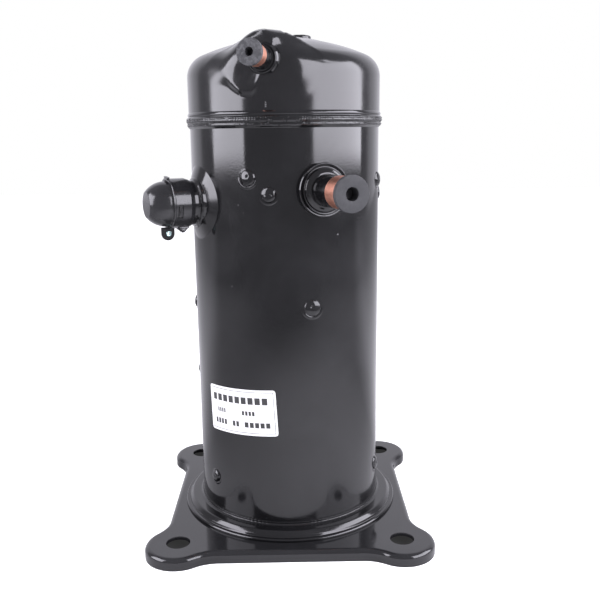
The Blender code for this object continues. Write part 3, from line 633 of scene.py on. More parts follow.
def polar(radius, azimuth, height):
    """Point at an azimuth in degrees, counted from the front towards +X."""
    angle = math.radians(azimuth - 90)
    return (radius * math.cos(angle), radius * math.sin(angle), height)


# Shell, cap and welds

TERMINAL_BORE_R = 16.0


def build_shell():
    """The rolled can, open at the suction stub and behind the terminals."""
    heights = [SHELL_LOW, 40, 90, 150, 210, COVER_FOOT.z / MM - 22, SUCTION_FOOT.z / MM + 22, SHELL_TOP]
    section = [(SHELL_R, height) for height in heights] + [(BORE_R, height) for height in reversed(heights)]
    holes = [bore(13.0, 60, 100, outward(SUCTION_AXIS, SUCTION_FOOT)),
             bore(TERMINAL_BORE_R, 60, 100, outward(COVER_AXIS, COVER_FOOT))]
    make_piece("can_shell", Skin().turned(section, AROUND), ["Can enamel"], "housing",
               ["main_shell"], cutters=holes)


# Azimuth and height on the shell and radius, then for the nuggets where the crater lies

NUGGETS = [(-21, 314.9, 6.6, 0.5, 1.6), (-9, 301.9, 6.2, 1.9, -0.4), (15, 209.2, 7.0, -1.0, 1.4),
           (-53, 50.4, 6.0, 0.8, 1.2), (73, 48.9, 6.2, -1.2, 1.0), (74, 309.9, 6.4, 0.6, 1.4),
           (92, 297.0, 6.2, 1.0, 1.0), (-92, 200.0, 6.4, -0.8, 1.2), (-96, 134.0, 6.0, 0.4, 1.4),
           (135, 314.0, 6.4, 1.0, 1.0), (171, 209.0, 6.6, -1.0, 1.2), (-141, 309.0, 6.3, 1.2, 0.6),
           (172, 50.0, 6.2, 0.6, 1.2), (128, 132.0, 6.3, 0.9, -0.9)]
SPECKS = [(31, 268.0, 0.8), (-27, 293.0, 0.7), (-24, 287.0, 0.5), (12, 331.0, 0.5), (-33, 226.0, 0.6),
          (40, 171.0, 0.5), (4, 96.0, 0.6), (-6, 61.0, 0.5), (24, 74.0, 0.4), (100, 240.0, 0.7),
          (160, 268.0, 0.8), (-120, 247.0, 0.7), (-165, 120.0, 0.6), (56, 345.0, 0.5), (-44, 340.0, 0.6)]


def patch_on_shell(skin, azimuth, height, reach, rise, rings=18, count=44, sink=0.5, radius=SHELL_R):
    """A small round patch wrapped on the shell, raised by rise(x, y) in millimetres, closed behind."""
    def wrapped(x, y, lift):
        return [part * MM for part in polar(radius + lift, azimuth + math.degrees(x / radius), height + y)]

    turns = np.arange(count) * 2 * math.pi / count
    layers = [[wrapped(0, 0, rise(0, 0))]]
    for step in range(1, rings + 1):
        far = reach * step / rings
        spots = [(far * math.cos(turn), far * math.sin(turn)) for turn in turns]
        layers.append([wrapped(x, y, rise(x, y)) for x, y in spots])
    layers.append([wrapped(x, y, -sink) for x, y in spots])
    layers.append([wrapped(0, 0, -sink)])
    skin.rings(layers, closed=False)


def build_nuggets():
    """Plug welds with their craters and lower lips, specks under the paint and the mark on the cap."""
    tall = bpy.context.scene.compressor_shell.nugget_height / MM
    skin = Skin()
    for azimuth, height, size, dip_x, dip_y in NUGGETS:
        def nugget(x, y):
            far = math.hypot(x, y) / size
            below = max(-y / (size * far + 0.01), 0) ** 1.4
            dome = tall * max(1 - far ** 2, 0) ** 0.52 * (1 + 0.045 * x - 0.035 * y)
            dip = 0.9 * math.exp(-((x - dip_x) ** 2 + (y - dip_y) ** 2) / 0.8)
            lip = 0.8 * below * math.exp(-((far - 1.16) / 0.2) ** 2)
            edge = -0.3 * max((far - 1.3) / 0.2, 0)
            rough = 0.3 * ripple(x + azimuth, y + height, 3.0, 0.28) * (far < 1)
            return dome - dip * (far < 1) + lip + edge + rough
        patch_on_shell(skin, azimuth, height, size * 1.5, nugget)
    for azimuth, height, size in SPECKS:
        def speck(x, y):
            return 0.45 * size * math.exp(-(x * x + y * y) / size ** 2) - 0.1
        patch_on_shell(skin, azimuth, height, size * 1.3, speck, 6, 14, 0.3)

    def tick(x, y):
        return 0.5 * math.exp(-(x / 0.45) ** 2 - (y / 1.1) ** 2) - 0.06

    for height in (369.5, 371.0, 372.5):
        patch_on_shell(skin, -9.5, height, 1.3, tick, 8, 18, 0.3, CAP_R)
    make_piece("plug_weld_nuggets", skin, ["Can enamel"], "housing")


def smooth_max(first, second, blend):
    """The larger of two numbers, with the change from one to the other rounded over the blend."""
    overlap = np.maximum(blend - np.abs(first - second), 0) / blend
    return np.maximum(first, second) + overlap * overlap * blend / 4


# The boss at each turn round its axis, in degrees from the top: radius of its face, flare, roundings at the
# edge and the root, the radius it keeps within, and how far it fades into the cap there

BOSS_TURN = (-180, -160, -140, -122, -100, -75, -50, 0, 30, 45, 60, 90, 135, 180)
BOSS_FACE = (15, 27, 31.5, 32.5, 30, 28, 26, 23.5, 20, 15, 9, 4, 4, 15)
BOSS_FLARE = (1.6, 0.3, 0, 0.3, 1.7, 1.2, 0.2, 0, 0.4, 1.1, 1.9, 2.3, 2.6, 1.6)
BOSS_EDGE = (10, 6, 4, 4, 5, 8, 12, 12, 12, 12, 12, 14, 14, 10)
BOSS_ROOT = (10, 5, 3, 4, 9, 10, 8, 8, 10, 12, 12, 12, 12, 10)
BOSS_LIMIT = (33, 32, 33, 36, 43, 36, 29, 24.5, 25, 27, 30, 38, 38, 33)
BOSS_FADE = (1, 0.3, 0, 0.2, 1, 0.8, 0.2, 0, 0, 0.2, 0.5, 1, 1, 1)
BOSS_PROUD = 2.0  # of the face over its CAD place
NEVER = 1000  # a reach beyond every surface


def pushed_by_boss(points, inset):
    """Points of the plain cap pushed out to the blend of the cap and the flat-faced discharge boss."""
    axis = np.array(DISCHARGE_AXIS)
    right = np.array(UP.cross(DISCHARGE_AXIS).normalized())
    upward = np.cross(axis, right)
    centre = np.array(DISCHARGE_FOOT) / MM - axis * BOSS_BACK
    rays = points - centre
    plain = np.linalg.norm(rays, axis=1)
    unit = rays / plain[:, None]
    forward = unit @ axis
    turn = np.degrees(np.arctan2(unit @ right, unit @ upward))
    tables = (BOSS_FACE, BOSS_FLARE, BOSS_EDGE, BOSS_ROOT, BOSS_LIMIT, BOSS_FADE)
    face, flare, edge, root, limit, fade = (np.interp(turn, BOSS_TURN, table) for table in tables)
    sideways = np.linalg.norm(unit - forward[:, None] * axis, axis=1)
    depth = BOSS_BACK + BOSS_PROUD
    tiny = 1e-6
    spread = sideways + flare * forward
    to_side = np.where(spread > tiny, (face - inset + flare * depth) / np.maximum(spread, tiny), NEVER)
    to_side = np.minimum(to_side, (limit * (1 + 0.3 * fade) - inset) / np.maximum(sideways, tiny))
    to_front = np.where(forward > tiny, (depth - inset) / np.maximum(forward, tiny), NEVER)
    to_back = np.where(forward < 0.05, 0, NEVER)
    reach = -smooth_max(-np.minimum(to_side, to_back), -to_front, edge)
    pushed = smooth_max(plain, reach, root)
    share = np.clip((pushed * sideways / limit - 0.5) / 0.7, 0, 1)
    pushed = plain + (pushed - plain) * (1 - fade * share ** 2 * (3 - 2 * share))
    return centre + unit * pushed[:, None]


def cap_section(inset, wall_steps, arc_steps):
    """The plain cap's section: its wall, its rounded shoulder and its crown, moved in by the inset."""
    shoulder_x = CAP_R - CAP_SHOULDER
    crown_z = CAP_APEX - CROWN_R
    end = math.atan2(CAP_WALL_TOP - crown_z, shoulder_x)
    section = [(CAP_R - inset, height) for height in np.linspace(CAP_LOW, CAP_WALL_TOP, wall_steps)[:-1]]
    for angle in np.linspace(0, end, arc_steps):
        section.append((shoulder_x + (CAP_SHOULDER - inset) * math.cos(angle),
                        CAP_WALL_TOP + (CAP_SHOULDER - inset) * math.sin(angle)))
    for angle in np.linspace(end, math.pi / 2, arc_steps)[1:-1]:
        section.append(((CROWN_R - inset) * math.cos(angle), crown_z + (CROWN_R - inset) * math.sin(angle)))
    return section + [(0, CAP_APEX - inset)]


def cap_rings(inset, wall_steps, arc_steps, count):
    """Rings of the cap, closer together round the boss."""
    share = np.linspace(-1, 1, count, endpoint=False)
    facing = math.atan2(DISCHARGE_AXIS.y, DISCHARGE_AXIS.x)
    angles = facing + math.pi * (0.55 * share + 0.45 * share ** 3)
    rings = []
    for radius, height in cap_section(inset, wall_steps, arc_steps):
        if radius == 0:
            ring = np.array([[0.0, 0.0, height]])
        else:
            ring = np.stack([radius * np.cos(angles), radius * np.sin(angles), np.full(count, height)], axis=1)
        rings.append(ring if height <= CAP_LOW else pushed_by_boss(ring, inset))
    return rings


def build_cap():
    """The pressed cap with its boss, and the round button on its crown."""
    count = 360
    skin = Skin()
    outer = cap_rings(0, 26, 30, count)
    inner = cap_rings(CAP_WALL, 6, 12, count)
    rolled = cap_rings(0.5, 2, 3, count)[0]
    rolled[:, 2] -= 0.35
    skin.rings([ring * MM for ring in [rolled] + outer], closed=False)
    top = len(skin.points)
    skin.rings([ring * MM for ring in inner], closed=False)
    for step in range(count):
        after = (step + 1) % count
        skin.faces.append([step, after, top + after, top + step])
        skin.finishes.append(0)
    make_piece("can_cap", skin, ["Cap enamel"], "housing", ["top_cap"],
               cutters=[bore(8.7, -16, 12, outward(DISCHARGE_AXIS, DISCHARGE_FOOT))])
    low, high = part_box("cap_button")
    spot = (low + high) / 2
    size = (high.x - low.x) / 2 / MM
    button = softened([(0, 427.2), (size, 427.2), (size, 429.8, 0.5), (size - 1.2, 430.9, 0.8), (0, 431.3)])

    def wander(ring):
        ring[:, 2] += [0.12 * ripple(x, y, z, 0.5) for x, y, z in ring]
        return ring

    make_piece("cap_nugget", Skin().turned(button, 96, wander), ["Cap enamel"], "housing",
               ["cap_button"], Matrix.Translation((spot.x, spot.y, 0)))


def bead_rings(steps, across, count, swell):
    """Rings across a bead, at steps from one side to the other.

    across(share) gives radius, height and the way out, and swell(angle, share) how far the bead swells that way.
    """
    rings = []
    for share in np.linspace(0, 1, steps):
        radius, height, out_r, out_z = across(share)
        ring = []
        for angle in np.arange(count) * 2 * math.pi / count:
            lift = swell(angle, share)
            far = radius + out_r * lift
            ring.append((far * math.cos(angle), far * math.sin(angle), height + out_z * lift))
        rings.append(np.array(ring))
    return rings


SEAM_STATIONS = (-7.2, -6.3, -5.2, -4.2, -3.4, -2.7, -1.9, -0.9, 0.1, 1.1, 2.0, 2.8, 3.4, 4.3, 5.6, 7.2)
SEAM_LIFTS = (-0.9, -0.2, 0.9, 1.35, 1.2, 0.8, 1.5, 1.95, 1.7, 1.85, 1.3, 0.6, 0.75, 1.1, 0.6, -0.4)
BEAD_CREASE = math.radians(80)


def build_seam_bead():
    """The bead that closes the can: ridges over the joint, the lower ones finely stitched, and spatter."""
    centre, half = middle("top_seam_weld").z / MM, SEAM_STATIONS[-1]
    depth = bpy.context.scene.compressor_shell.bead_ripple / MM

    def across(share):
        v = (share * 2 - 1) * half
        return CAP_R + float(np.interp(v, SEAM_STATIONS, SEAM_LIFTS)) - 0.05, centre + v, 1.0, 0.0

    def swell(angle, share):
        v = (share * 2 - 1) * half
        along = angle * SHELL_R
        worked = 1 / (1 + math.exp((v - 2.3) * 5))
        fade = max(1 - (v / half) ** 4, 0) * worked
        x, y = math.cos(angle) * SHELL_R, math.sin(angle) * SHELL_R
        stitch = math.sin(2 * math.pi * (along + 0.28 * (v - 0.6) ** 2) / 2.1 + 2 * ripple(along, 0, 0, 0.05))
        spatter = max(ripple(x, y, v, 1.1) - 0.22, 0)
        broad = ripple(x, y, v, 0.2)
        return fade * (depth * 0.8 * stitch * (0.7 + broad) + 0.9 * spatter + 0.25 * broad)

    rings = bead_rings(49, across, 1260, swell)
    back = [rings[-1].copy(), rings[0].copy()]
    for ring in back:
        ring[:, :2] *= (BORE_R + 1.5) / np.linalg.norm(ring[:, :2], axis=1)[:, None]
    make_piece("seam_bead", Skin().rings([ring * MM for ring in rings + back]), ["Bead enamel"],
               "housing", ["top_seam_weld"], crease=BEAD_CREASE)


def build_foot_bead():
    """The rough fillet bead that joins the can to its sump dish."""
    low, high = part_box("base_weld")
    inner, outer = SHELL_R - 0.5, min(high.x / MM - 0.25, SHELL_R + 3.6)
    bottom, top = low.z / MM - 0.25, min(high.z / MM - 0.2, low.z / MM + 4.6)
    depth = bpy.context.scene.compressor_shell.bead_ripple / MM
    crest = 0.42

    def across(share):
        ridge = math.exp(-((share - crest) / 0.09) ** 2)
        radius = inner + (outer - inner) * share ** 1.6 + ridge
        height = bottom + (top - bottom) * (1 - share) ** 1.6 + ridge
        return radius, height, 0.7, 0.7

    def swell(angle, share):
        along = angle * SHELL_R
        x, y = math.cos(angle) * SHELL_R, math.sin(angle) * SHELL_R
        fade = min(share * 6, (1 - share) * 6, 1)
        stitch = math.sin(2 * math.pi * (along + 3.0 * (share - 0.5) ** 2 * 4) / 3.4)
        lump = ripple(x, y, share * 3, 0.5)
        spatter = max(ripple(x, y, share * 6, 1.5) - 0.25, 0)
        worked = math.exp(-((share - crest) / 0.2) ** 2)
        return fade * (depth * 0.7 * stitch * worked + 0.12 * lump + 0.5 * spatter) - 0.06

    rings = bead_rings(33, across, 1080, swell)
    root = rings[-1].copy()
    root[:, :2] *= inner / np.linalg.norm(root[:, :2], axis=1)[:, None]
    make_piece("foot_bead", Skin().rings([ring * MM for ring in rings + [root]]), ["Bead enamel"],
               "housing", ["base_weld"], crease=BEAD_CREASE)


# Base

def build_sump():
    """Pressed sump dish with its shelf, rounded shoulder, groove and flange."""
    shelf, seat, sheet = 18.0, PLATE_TOP + 0.12, 2.6
    section = [(0, sheet), (64, sheet), (70, 6, 3), (73, 14, 3), (77, shelf, 1), (92.6, shelf, 2.4),
               (95.4, 15.0, 1.2), (96.2, 13.1, 0.6), (98.4, 13.2, 0.9), (99.3, 12.2, 0.6), (99.2, seat, 0.2),
               (93.6, seat, 0.5), (91, 15.2, 1), (79, 15.2, 1), (75.6, 12, 2), (72, 3, 2), (66, 0.1, 2),
               (0, 0.1)]

    def wander(ring):
        angles = np.arctan2(ring[:, 1], ring[:, 0])
        return ring + np.array([[0, 0, 0.06 * math.sin(3 * a + 1) + 0.04 * math.sin(7 * a)] for a in angles])

    make_piece("sump_dish", Skin().turned(softened(section, 6), AROUND, wander), ["Sump enamel"], "housing",
               ["bottom_cap"])


def plate_outline():
    """Outline of the base plate, anticlockwise: four ears, hollow blends and straight sides."""
    half = FOOT_PITCH / 2

    def arc(centre, radius, start, end, steps):
        return [(centre[0] + radius * math.cos(math.radians(a)), centre[1] + radius * math.sin(math.radians(a)))
                for a in np.linspace(start, end, steps + 1)]

    def blend_centre(side):
        across = side + PLATE_BLEND - half
        return half - math.sqrt((EAR_R + PLATE_BLEND) ** 2 - across ** 2)

    points = []
    for quarter in range(4):
        side, top = (PLATE_FRONT, PLATE_SIDE) if quarter % 2 else (PLATE_SIDE, PLATE_FRONT)
        low, high = blend_centre(side), blend_centre(top)
        start = math.degrees(math.atan2(low - half, side + PLATE_BLEND - half))
        end = math.degrees(math.atan2(top + PLATE_BLEND - half, high - half))
        corner = arc((side + PLATE_BLEND, low), PLATE_BLEND, 180, 180 + start, 14)
        corner += arc((half, half), EAR_R, start, end, 52)[1:-1]
        corner += arc((high, top + PLATE_BLEND), PLATE_BLEND, end + 180, 270, 14)
        corner += [(high * (1 - step / 8), top) for step in range(1, 16)]
        turn = Matrix.Rotation(quarter * math.pi / 2, 2)
        points += [turn @ Vector(point) for point in corner]
    return np.array(points)


def drawn_in(outline, distance):
    """The outline moved inwards along its own normals."""
    run = np.roll(outline, -1, axis=0) - np.roll(outline, 1, axis=0)
    run /= np.linalg.norm(run, axis=1)[:, None]
    return outline + np.stack([-run[:, 1], run[:, 0]], axis=1) * distance


def build_plate():
    """Pressed foot plate: rolled edge, four ears and a flat seat round the sump."""
    outline = plate_outline()
    edge = [(0.05, 0.0), (0.0, 0.4), (0.0, 5.2)]
    edge += [(4.4 - 4.4 * math.cos(a), 5.9 + 4.5 * math.sin(a)) for a in np.linspace(0, math.pi / 2, 12)]
    edge += [(5.2, PLATE_TOP), (6.4, PLATE_TOP)]
    under = [(7.0, PLATE_TOP - PLATE_T), (5.2, 7.4), (3.4, 6.2), (2.6, 4.6), (2.6, 0.0)]
    seat = outline / np.linalg.norm(outline, axis=1)[:, None] * 77.5

    def level(points, height):
        return np.column_stack([points, np.full(len(points), height)])

    rings = [level(drawn_in(outline, inset), height) for inset, height in edge]
    rings += [level(outline * 0.45 + seat * 0.55, PLATE_TOP), level(seat, PLATE_TOP)]
    rings += [level(seat, PLATE_TOP - PLATE_T)]
    rings += [level(drawn_in(outline, inset), height) for inset, height in under]
    hole = softened([(0, -1), (FOOT_HOLE_R, -1), (FOOT_HOLE_R, PLATE_TOP - 0.9, 0.6), (FOOT_HOLE_R + 0.9, 12),
                     (0, 12)])
    half = FOOT_PITCH / 2 * MM
    holes = [(Skin().turned(hole, 72), Matrix.Translation((x, y, 0)))
             for x in (-half, half) for y in (-half, half)]
    make_piece("foot_plate", Skin().rings([ring * MM for ring in rings]), ["Base enamel"], "housing",
               ["base_plate"], cutters=holes)


# Fittings

def seated(sink):
    """Warp that lets the lowest rings of a collar follow the round shell."""
    def warp(ring):
        seat = np.sqrt(np.maximum(SHELL_R ** 2 - ring[:, 1] ** 2, 0)) - sink
        low = ring[:, 2] < 80
        ring[low, 2] = seat[low]
        return ring
    return warp


def build_suction():
    place = outward(SUCTION_AXIS, SUCTION_FOOT)
    collar = softened([(12.75, 79), (21.6, 79), (21.6, 86.1, 0.5), (21.1, 87.3, 0.5), (20.1, 87.2, 0.5),
                       (18.0, 86.2, 1.4), (16.9, 88.4, 0.9), (15.2, 89.4, 1.0), (14.0, 90.6, 0.7),
                       (12.75, 90.9, 0.2)], 6)
    make_piece("suction_flare", Skin().turned(collar, 160, seated(0.8)), ["Bead enamel"], "housing",
               ["suction_collar"], place)
    pipe = softened([(12.7, 76.2), (12.7, 131.8, 0.4), (11.5, 131.8, 0.4), (11.5, 76.2)])
    make_piece("suction_pipe", Skin().turned(pipe, 128), ["Suction pipe"], "housing",
               ["suction_stub"], place)
    plug = softened([(0, 122), (11.2, 122, 0.8), (11.2, 132.3, 0.1), (14.1, 132.3, 0.25), (14.1, 136, 0.5),
                     (5.2, 136, 0.35), (5.1, 125, 0.3), (0, 125)])
    make_piece("suction_bung", Skin().turned(plug, 128), ["Suction plug rubber"], "suction_cap",
               ["suction_plug"], place)


def build_discharge():
    place = outward(DISCHARGE_AXIS, DISCHARGE_FOOT)
    collar = softened([(8.45, -1.0), (13.2, -1.0), (12.6, 1.6, 0.9), (11.6, 3.4, 0.5), (11.5, 4.9, 0.5),
                       (10.7, 5.3, 0.4), (9.7, 5.0, 0.4), (8.45, 5.6, 0.2)], 5)
    make_piece("discharge_flare", Skin().turned(collar, 128), ["Bead enamel"], "housing",
               ["discharge_collar"], place)
    pipe = softened([(8.4, -12), (8.4, 28.2, 0.35), (7.3, 28.2, 0.35), (7.3, -12)])
    make_piece("discharge_pipe", Skin().turned(pipe, 112), ["Discharge pipe"], "housing",
               ["discharge_stub"], place)
    plug = softened([(0, 20), (7.0, 20, 0.6), (7.0, 28.5, 0.1), (9.9, 28.5, 0.25), (9.9, 32, 0.45),
                     (3.2, 32, 0.35), (3.1, 22.5, 0.2), (0, 22.5)])
    make_piece("discharge_bung", Skin().turned(plug, 112), ["Discharge plug rubber"], "discharge_cap",
               ["discharge_plug"], place)


# Terminal cover

DOME_R = 18.8
DOME_LONG = 20.4
DOME_FLAT = 11.0
FLANGE = 110.0
SKIRT_R = 20.8


def build_pad():
    """The shallow cone that the shell is drawn into round the terminal ring."""
    azimuth = math.degrees(math.atan2(COVER_AXIS.x, -COVER_AXIS.y))
    inner, outer, tall = 19.6, 31.0, 3.5

    def rise(x, y):
        share = min(max((outer - math.hypot(x, y)) / (outer - inner), 0), 1)
        return tall * share - 0.06 * (1 - share)

    skin = Skin()
    patch_on_shell(skin, azimuth, COVER_FOOT.z / MM, outer, rise, 40, 160, 0.4)
    make_piece("terminal_pad", skin, ["Can enamel"], "housing",
               cutters=[bore(TERMINAL_BORE_R, 60, 100, outward(COVER_AXIS, COVER_FOOT))])


def build_fence():
    """Steel ring welded round the terminals, with a lumpy weld at its root."""
    place = outward(COVER_AXIS, COVER_FOOT)

    def weld(ring):
        ring = seated(0.9)(ring)
        far = np.linalg.norm(ring[:, :2], axis=1)
        for index, (x, y, z) in enumerate(ring):
            if far[index] > 18.9 and z > 80:
                low = 0.25 + 0.75 * max(x, 0) / 20
                lump = low * (0.25 * ripple(x, y, z, 0.35) + 1.1 * max(ripple(x, y, z + 9, 0.6) - 0.25, 0))
                ring[index, :2] *= 1 + lump / 22
                ring[index, 2] += lump * 0.8
        return ring

    section = softened([(16.3, 79), (21.2, 79), (21.0, 85.4, 0.8), (20.2, 86.6, 0.8), (19.2, 87.2, 0.8),
                        (18.75, 88.6, 0.6), (18.75, 102.9, 0.3), (16.3, 102.9, 0.3)], 6)
    make_piece("terminal_ring", Skin().turned(section, 240, weld), ["Bead enamel"], "housing",
               ["terminal_fence"], place, crease=math.radians(60))


def bent_block(skin, corners, radius, low, high, bulge=0.0):
    """A raised block on a cylinder: corners are (along, round) in millimetres, from radius low to high."""
    middle_along, middle_round = (sum(corner[part] for corner in corners) / len(corners) for part in (0, 1))

    def bent(height, along, turn):
        angle = turn / radius
        return height * math.cos(angle) * MM, height * math.sin(angle) * MM, along * MM

    rings = [[bent(low, middle_along, middle_round)]]
    for height, shrink in ((low, 1.0), (high - bulge, 1.0), (high, 1 - bulge * 0.12)):
        rings.append([bent(height, middle_along + (along - middle_along) * shrink,
                           middle_round + (turn - middle_round) * shrink) for along, turn in corners])
    rings.append([bent(high, middle_along, middle_round)])
    skin.rings(rings, closed=False)


def rounded_rectangle(low, high, radius, steps=5):
    corners = [(high[0] - radius, high[1] - radius, 0), (low[0] + radius, high[1] - radius, 90),
               (low[0] + radius, low[1] + radius, 180), (high[0] - radius, low[1] + radius, 270)]
    points = []
    for x, y, start in corners:
        for angle in np.radians(np.linspace(start, start + 90, steps + 1)):
            points.append((x + radius * math.cos(angle), y + radius * math.sin(angle)))
    return points


def build_cover():
    """Pull-off cover: dome with a small flat tip, thin flange, skirt with a latch window, hook lug and ear."""
    place = outward(COVER_AXIS, COVER_FOOT)
    settings = bpy.context.scene.compressor_cover
    end = math.acos(DOME_FLAT / DOME_R)
    dome = [(DOME_R * math.cos(a), FLANGE + 0.9 + DOME_LONG * math.sin(a)) for a in np.linspace(0, end, 36)]
    tip = dome[-1][1]
    dome += [(DOME_FLAT - 0.25, tip + 0.1), (DOME_FLAT - 0.6, tip + 0.14), (5.0, tip + 0.2)]
    hollow = [((DOME_R - 1.8) * math.cos(a), FLANGE + (DOME_LONG - 2) * math.sin(a))
              for a in np.linspace(end, 0, 20)]
    section = [(0, tip - 1.8)] + hollow
    section += softened([(17, 105.8), (19.0, 105.6, 0.2), (19.0, 91.7, 0.2), (19.5, 91.6, 0.3),
                         (SKIRT_R, 95.4, 0.8), (SKIRT_R, 108.3, 0.3), (21.3, 108.5, 0.2), (21.6, 108.8, 0.2),
                         (21.6, 109.7, 0.25), (21.0, FLANGE + 0.1, 0.4), (19.4, FLANGE + 0.3, 0.6)], 5)[1:]
    section += dome + [(0, tip + 0.22)]
    half = settings.latch_length / MM / 2
    window = Skin()
    bent_block(window, rounded_rectangle((102.4, 27.2 - half), (107.8, 27.2 + half), 0.5), SKIRT_R,
               SKIRT_R - 1.1, SKIRT_R + 2)
    make_piece("cover_dome", Skin().turned(section, 224), ["Cover plastic"], "cover",
               ["terminal_cover"], place, cutters=[(window, place)], settled=True)
    details = Skin()
    bent_block(details, rounded_rectangle((104.2, 28.0 - half), (105.9, 25.6 + half), 0.4), SKIRT_R,
               SKIRT_R - 1.4, SKIRT_R - 0.1, 0.3)
    bent_block(details, rounded_rectangle((94.0, 2.0), (103.4, 8.6), 0.8), SKIRT_R, SKIRT_R - 0.8,
               SKIRT_R + 1.0, 0.3)
    for low, high, top in ((95.0, 102.8, 1.9), (96.2, 101.6, 3.0), (97.4, 100.2, 3.9)):
        hook = rounded_rectangle((low, 3.0), (high, 6.8), 1.4)
        bent_block(details, hook, SKIRT_R, SKIRT_R - 0.5, SKIRT_R + top, 1.0)
    bent_block(details, rounded_rectangle((108.7, 61.0), (110.9, 70.5), 0.9), 21.6, 20.6, 22.9, 0.3)
    make_piece("cover_latch", details, ["Cover plastic"], "cover", (), place)
    build_ear(place)
    rib = softened([(16.4, 103.3, 0.2), (18.55, 103.3, 0.4), (18.55, 105.2, 0.4), (16.4, 105.2, 0.2)])
    make_piece("cover_ring_seal", Skin().turned(rib, 96), ["Seal rubber"], "cover",
               ["cover_gasket"], place)


def build_ear(place):
    """The flat ear below the cover, with its plated eyelet."""
    stand = place @ Matrix.Translation((0, 2 * MM, 110.9 * MM)) @ Matrix.Rotation(math.pi / 2, 4, "X")
    ear_r, root, centre = 5.6, 19.2, 24.6
    side = [(root, -ear_r)] + [(centre + ear_r * math.cos(a), ear_r * math.sin(a))
                               for a in np.linspace(-math.pi / 2, math.pi / 2, 28)] + [(root, ear_r)]
    outline = np.array(side)
    mid = np.array([(root + centre + ear_r) / 2, 0.0])
    rings = []
    for height, shrink in ((-1.2, 0.93), (-0.95, 0.99), (-0.7, 1.0), (0.7, 1.0), (0.95, 0.99), (1.2, 0.93)):
        ring = mid + (outline - mid) * shrink
        rings.append(np.column_stack([ring, np.full(len(ring), height)]))
    caps = [np.array([[*mid, -1.2]]), np.array([[*mid, 1.2]])]
    skin = Skin().rings([ring * MM for ring in caps[:1] + rings + caps[1:]], closed=False)
    hole_place = stand @ Matrix.Translation((24.4 * MM, -0.3 * MM, 0))
    make_piece("cover_ear", skin, ["Cover plastic"], "cover", (), stand,
               cutters=[bore(1.8, -4, 4, hole_place, 40)])
    eyelet = softened([(1.25, -1.7, 0.3), (2.2, -1.75, 0.3), (2.35, -1.4, 0.1), (1.65, -1.3, 0.1),
                       (1.65, 1.3, 0.1), (2.35, 1.4, 0.1), (2.2, 1.75, 0.3), (1.25, 1.7, 0.3)])
    make_piece("cover_grommet", Skin().turned(eyelet, 56), ["Eyelet plate"], "cover",
               ["cover_eyelet"], hole_place)


# Label

def bar_row(start, end, low, high, count, gap):
    """A row of equal printed bars from start to end."""
    step = (end - start + gap) / count
    return [(start + step * index, low, start + step * (index + 1) - gap, high) for index in range(count)]


PRINT_BARS = (bar_row(4.6, 61.6, 27.6, 33.6, 9, 1.7) + bar_row(10.0, 19.4, 17.6, 21.4, 4, 0.9)
              + bar_row(37.4, 49.4, 17.6, 21.4, 4, 1.0) + bar_row(6.4, 20.2, 7.0, 11.6, 4, 1.1)
              + bar_row(27.0, 33.6, 7.0, 11.6, 2, 1.1) + bar_row(39.4, 62.6, 7.0, 11.6, 5, 1.3))
FRAME_INSET = 1.9
FRAME_LINE = 0.45
LABEL_AZIMUTH = -30.7
LABEL_CORNER_R = 2.4


def label_lines(size, step, edges):
    """Grid lines across a label: even steps, close ones at both ends, and the edges of its bars."""
    lines = list(np.arange(0, size, step)) + [size] + list(edges)
    for near in (0.3, 0.6, 1.0):
        lines += [near, size - near]
    return sorted({round(line, 3) for line in lines})


def build_label():
    """Blank rating label: white film, a thin printed border and plain bars for its lines."""
    settings = bpy.context.scene.compressor_label
    width, height = settings.width / MM, settings.height / MM
    left, low, right, high = FRAME_INSET, FRAME_INSET, width - FRAME_INSET, height - FRAME_INSET
    bars = PRINT_BARS + [(left, low, right, low + FRAME_LINE), (left, high - FRAME_LINE, right, high),
                         (left, low, left + FRAME_LINE, high), (right - FRAME_LINE, low, right, high)]
    across = label_lines(width, 1.5, [bar[side] for bar in bars for side in (0, 2)])
    upward = label_lines(height, 4.0, [bar[side] for bar in bars for side in (1, 3)])
    centre = middle("rating_label").z / MM
    cos_lean, sin_lean = math.cos(settings.lean), math.sin(settings.lean)

    def spot(u, v, lift):
        past = max(LABEL_CORNER_R - min(v, height - v), 0)
        cut = LABEL_CORNER_R - math.sqrt(max(LABEL_CORNER_R ** 2 - past ** 2, 0))
        x, y = min(max(u, cut), width - cut) - width / 2, v - height / 2
        turned, risen = x * cos_lean - y * sin_lean, x * sin_lean + y * cos_lean
        return [part * MM for part in polar(SHELL_R + lift, LABEL_AZIMUTH + math.degrees(turned / SHELL_R),
                                            centre + risen)]

    skin = Skin()
    count_u, count_v = len(across), len(upward)
    for lift in (0.42, 0.06):
        skin.points.extend(spot(u, v, lift) for v in upward for u in across)
    back = count_u * count_v
    for row in range(count_v - 1):
        for column in range(count_u - 1):
            u = (across[column] + across[column + 1]) / 2
            v = (upward[row] + upward[row + 1]) / 2
            inked = any(bar[0] < u < bar[2] and bar[1] < v < bar[3] for bar in bars)
            corners = [row * count_u + column, row * count_u + column + 1, (row + 1) * count_u + column + 1,
                       (row + 1) * count_u + column]
            skin.faces.append(corners)
            skin.finishes.append(1 if inked else 0)
            skin.faces.append([back + corner for corner in reversed(corners)])
            skin.finishes.append(0)
    rim = [column for column in range(count_u)]
    rim += [row * count_u + count_u - 1 for row in range(1, count_v)]
    rim += [(count_v - 1) * count_u + column for column in range(count_u - 2, -1, -1)]
    rim += [row * count_u for row in range(count_v - 2, 0, -1)]
    for step, point in enumerate(rim):
        after = rim[(step + 1) % len(rim)]
        skin.faces.append([point, back + point, back + after, after])
        skin.finishes.append(0)
    make_piece("data_label", skin, ["Label film", "Label ink"], "housing", ["rating_label"])


# Inner works keep their CAD shapes and take their finishes

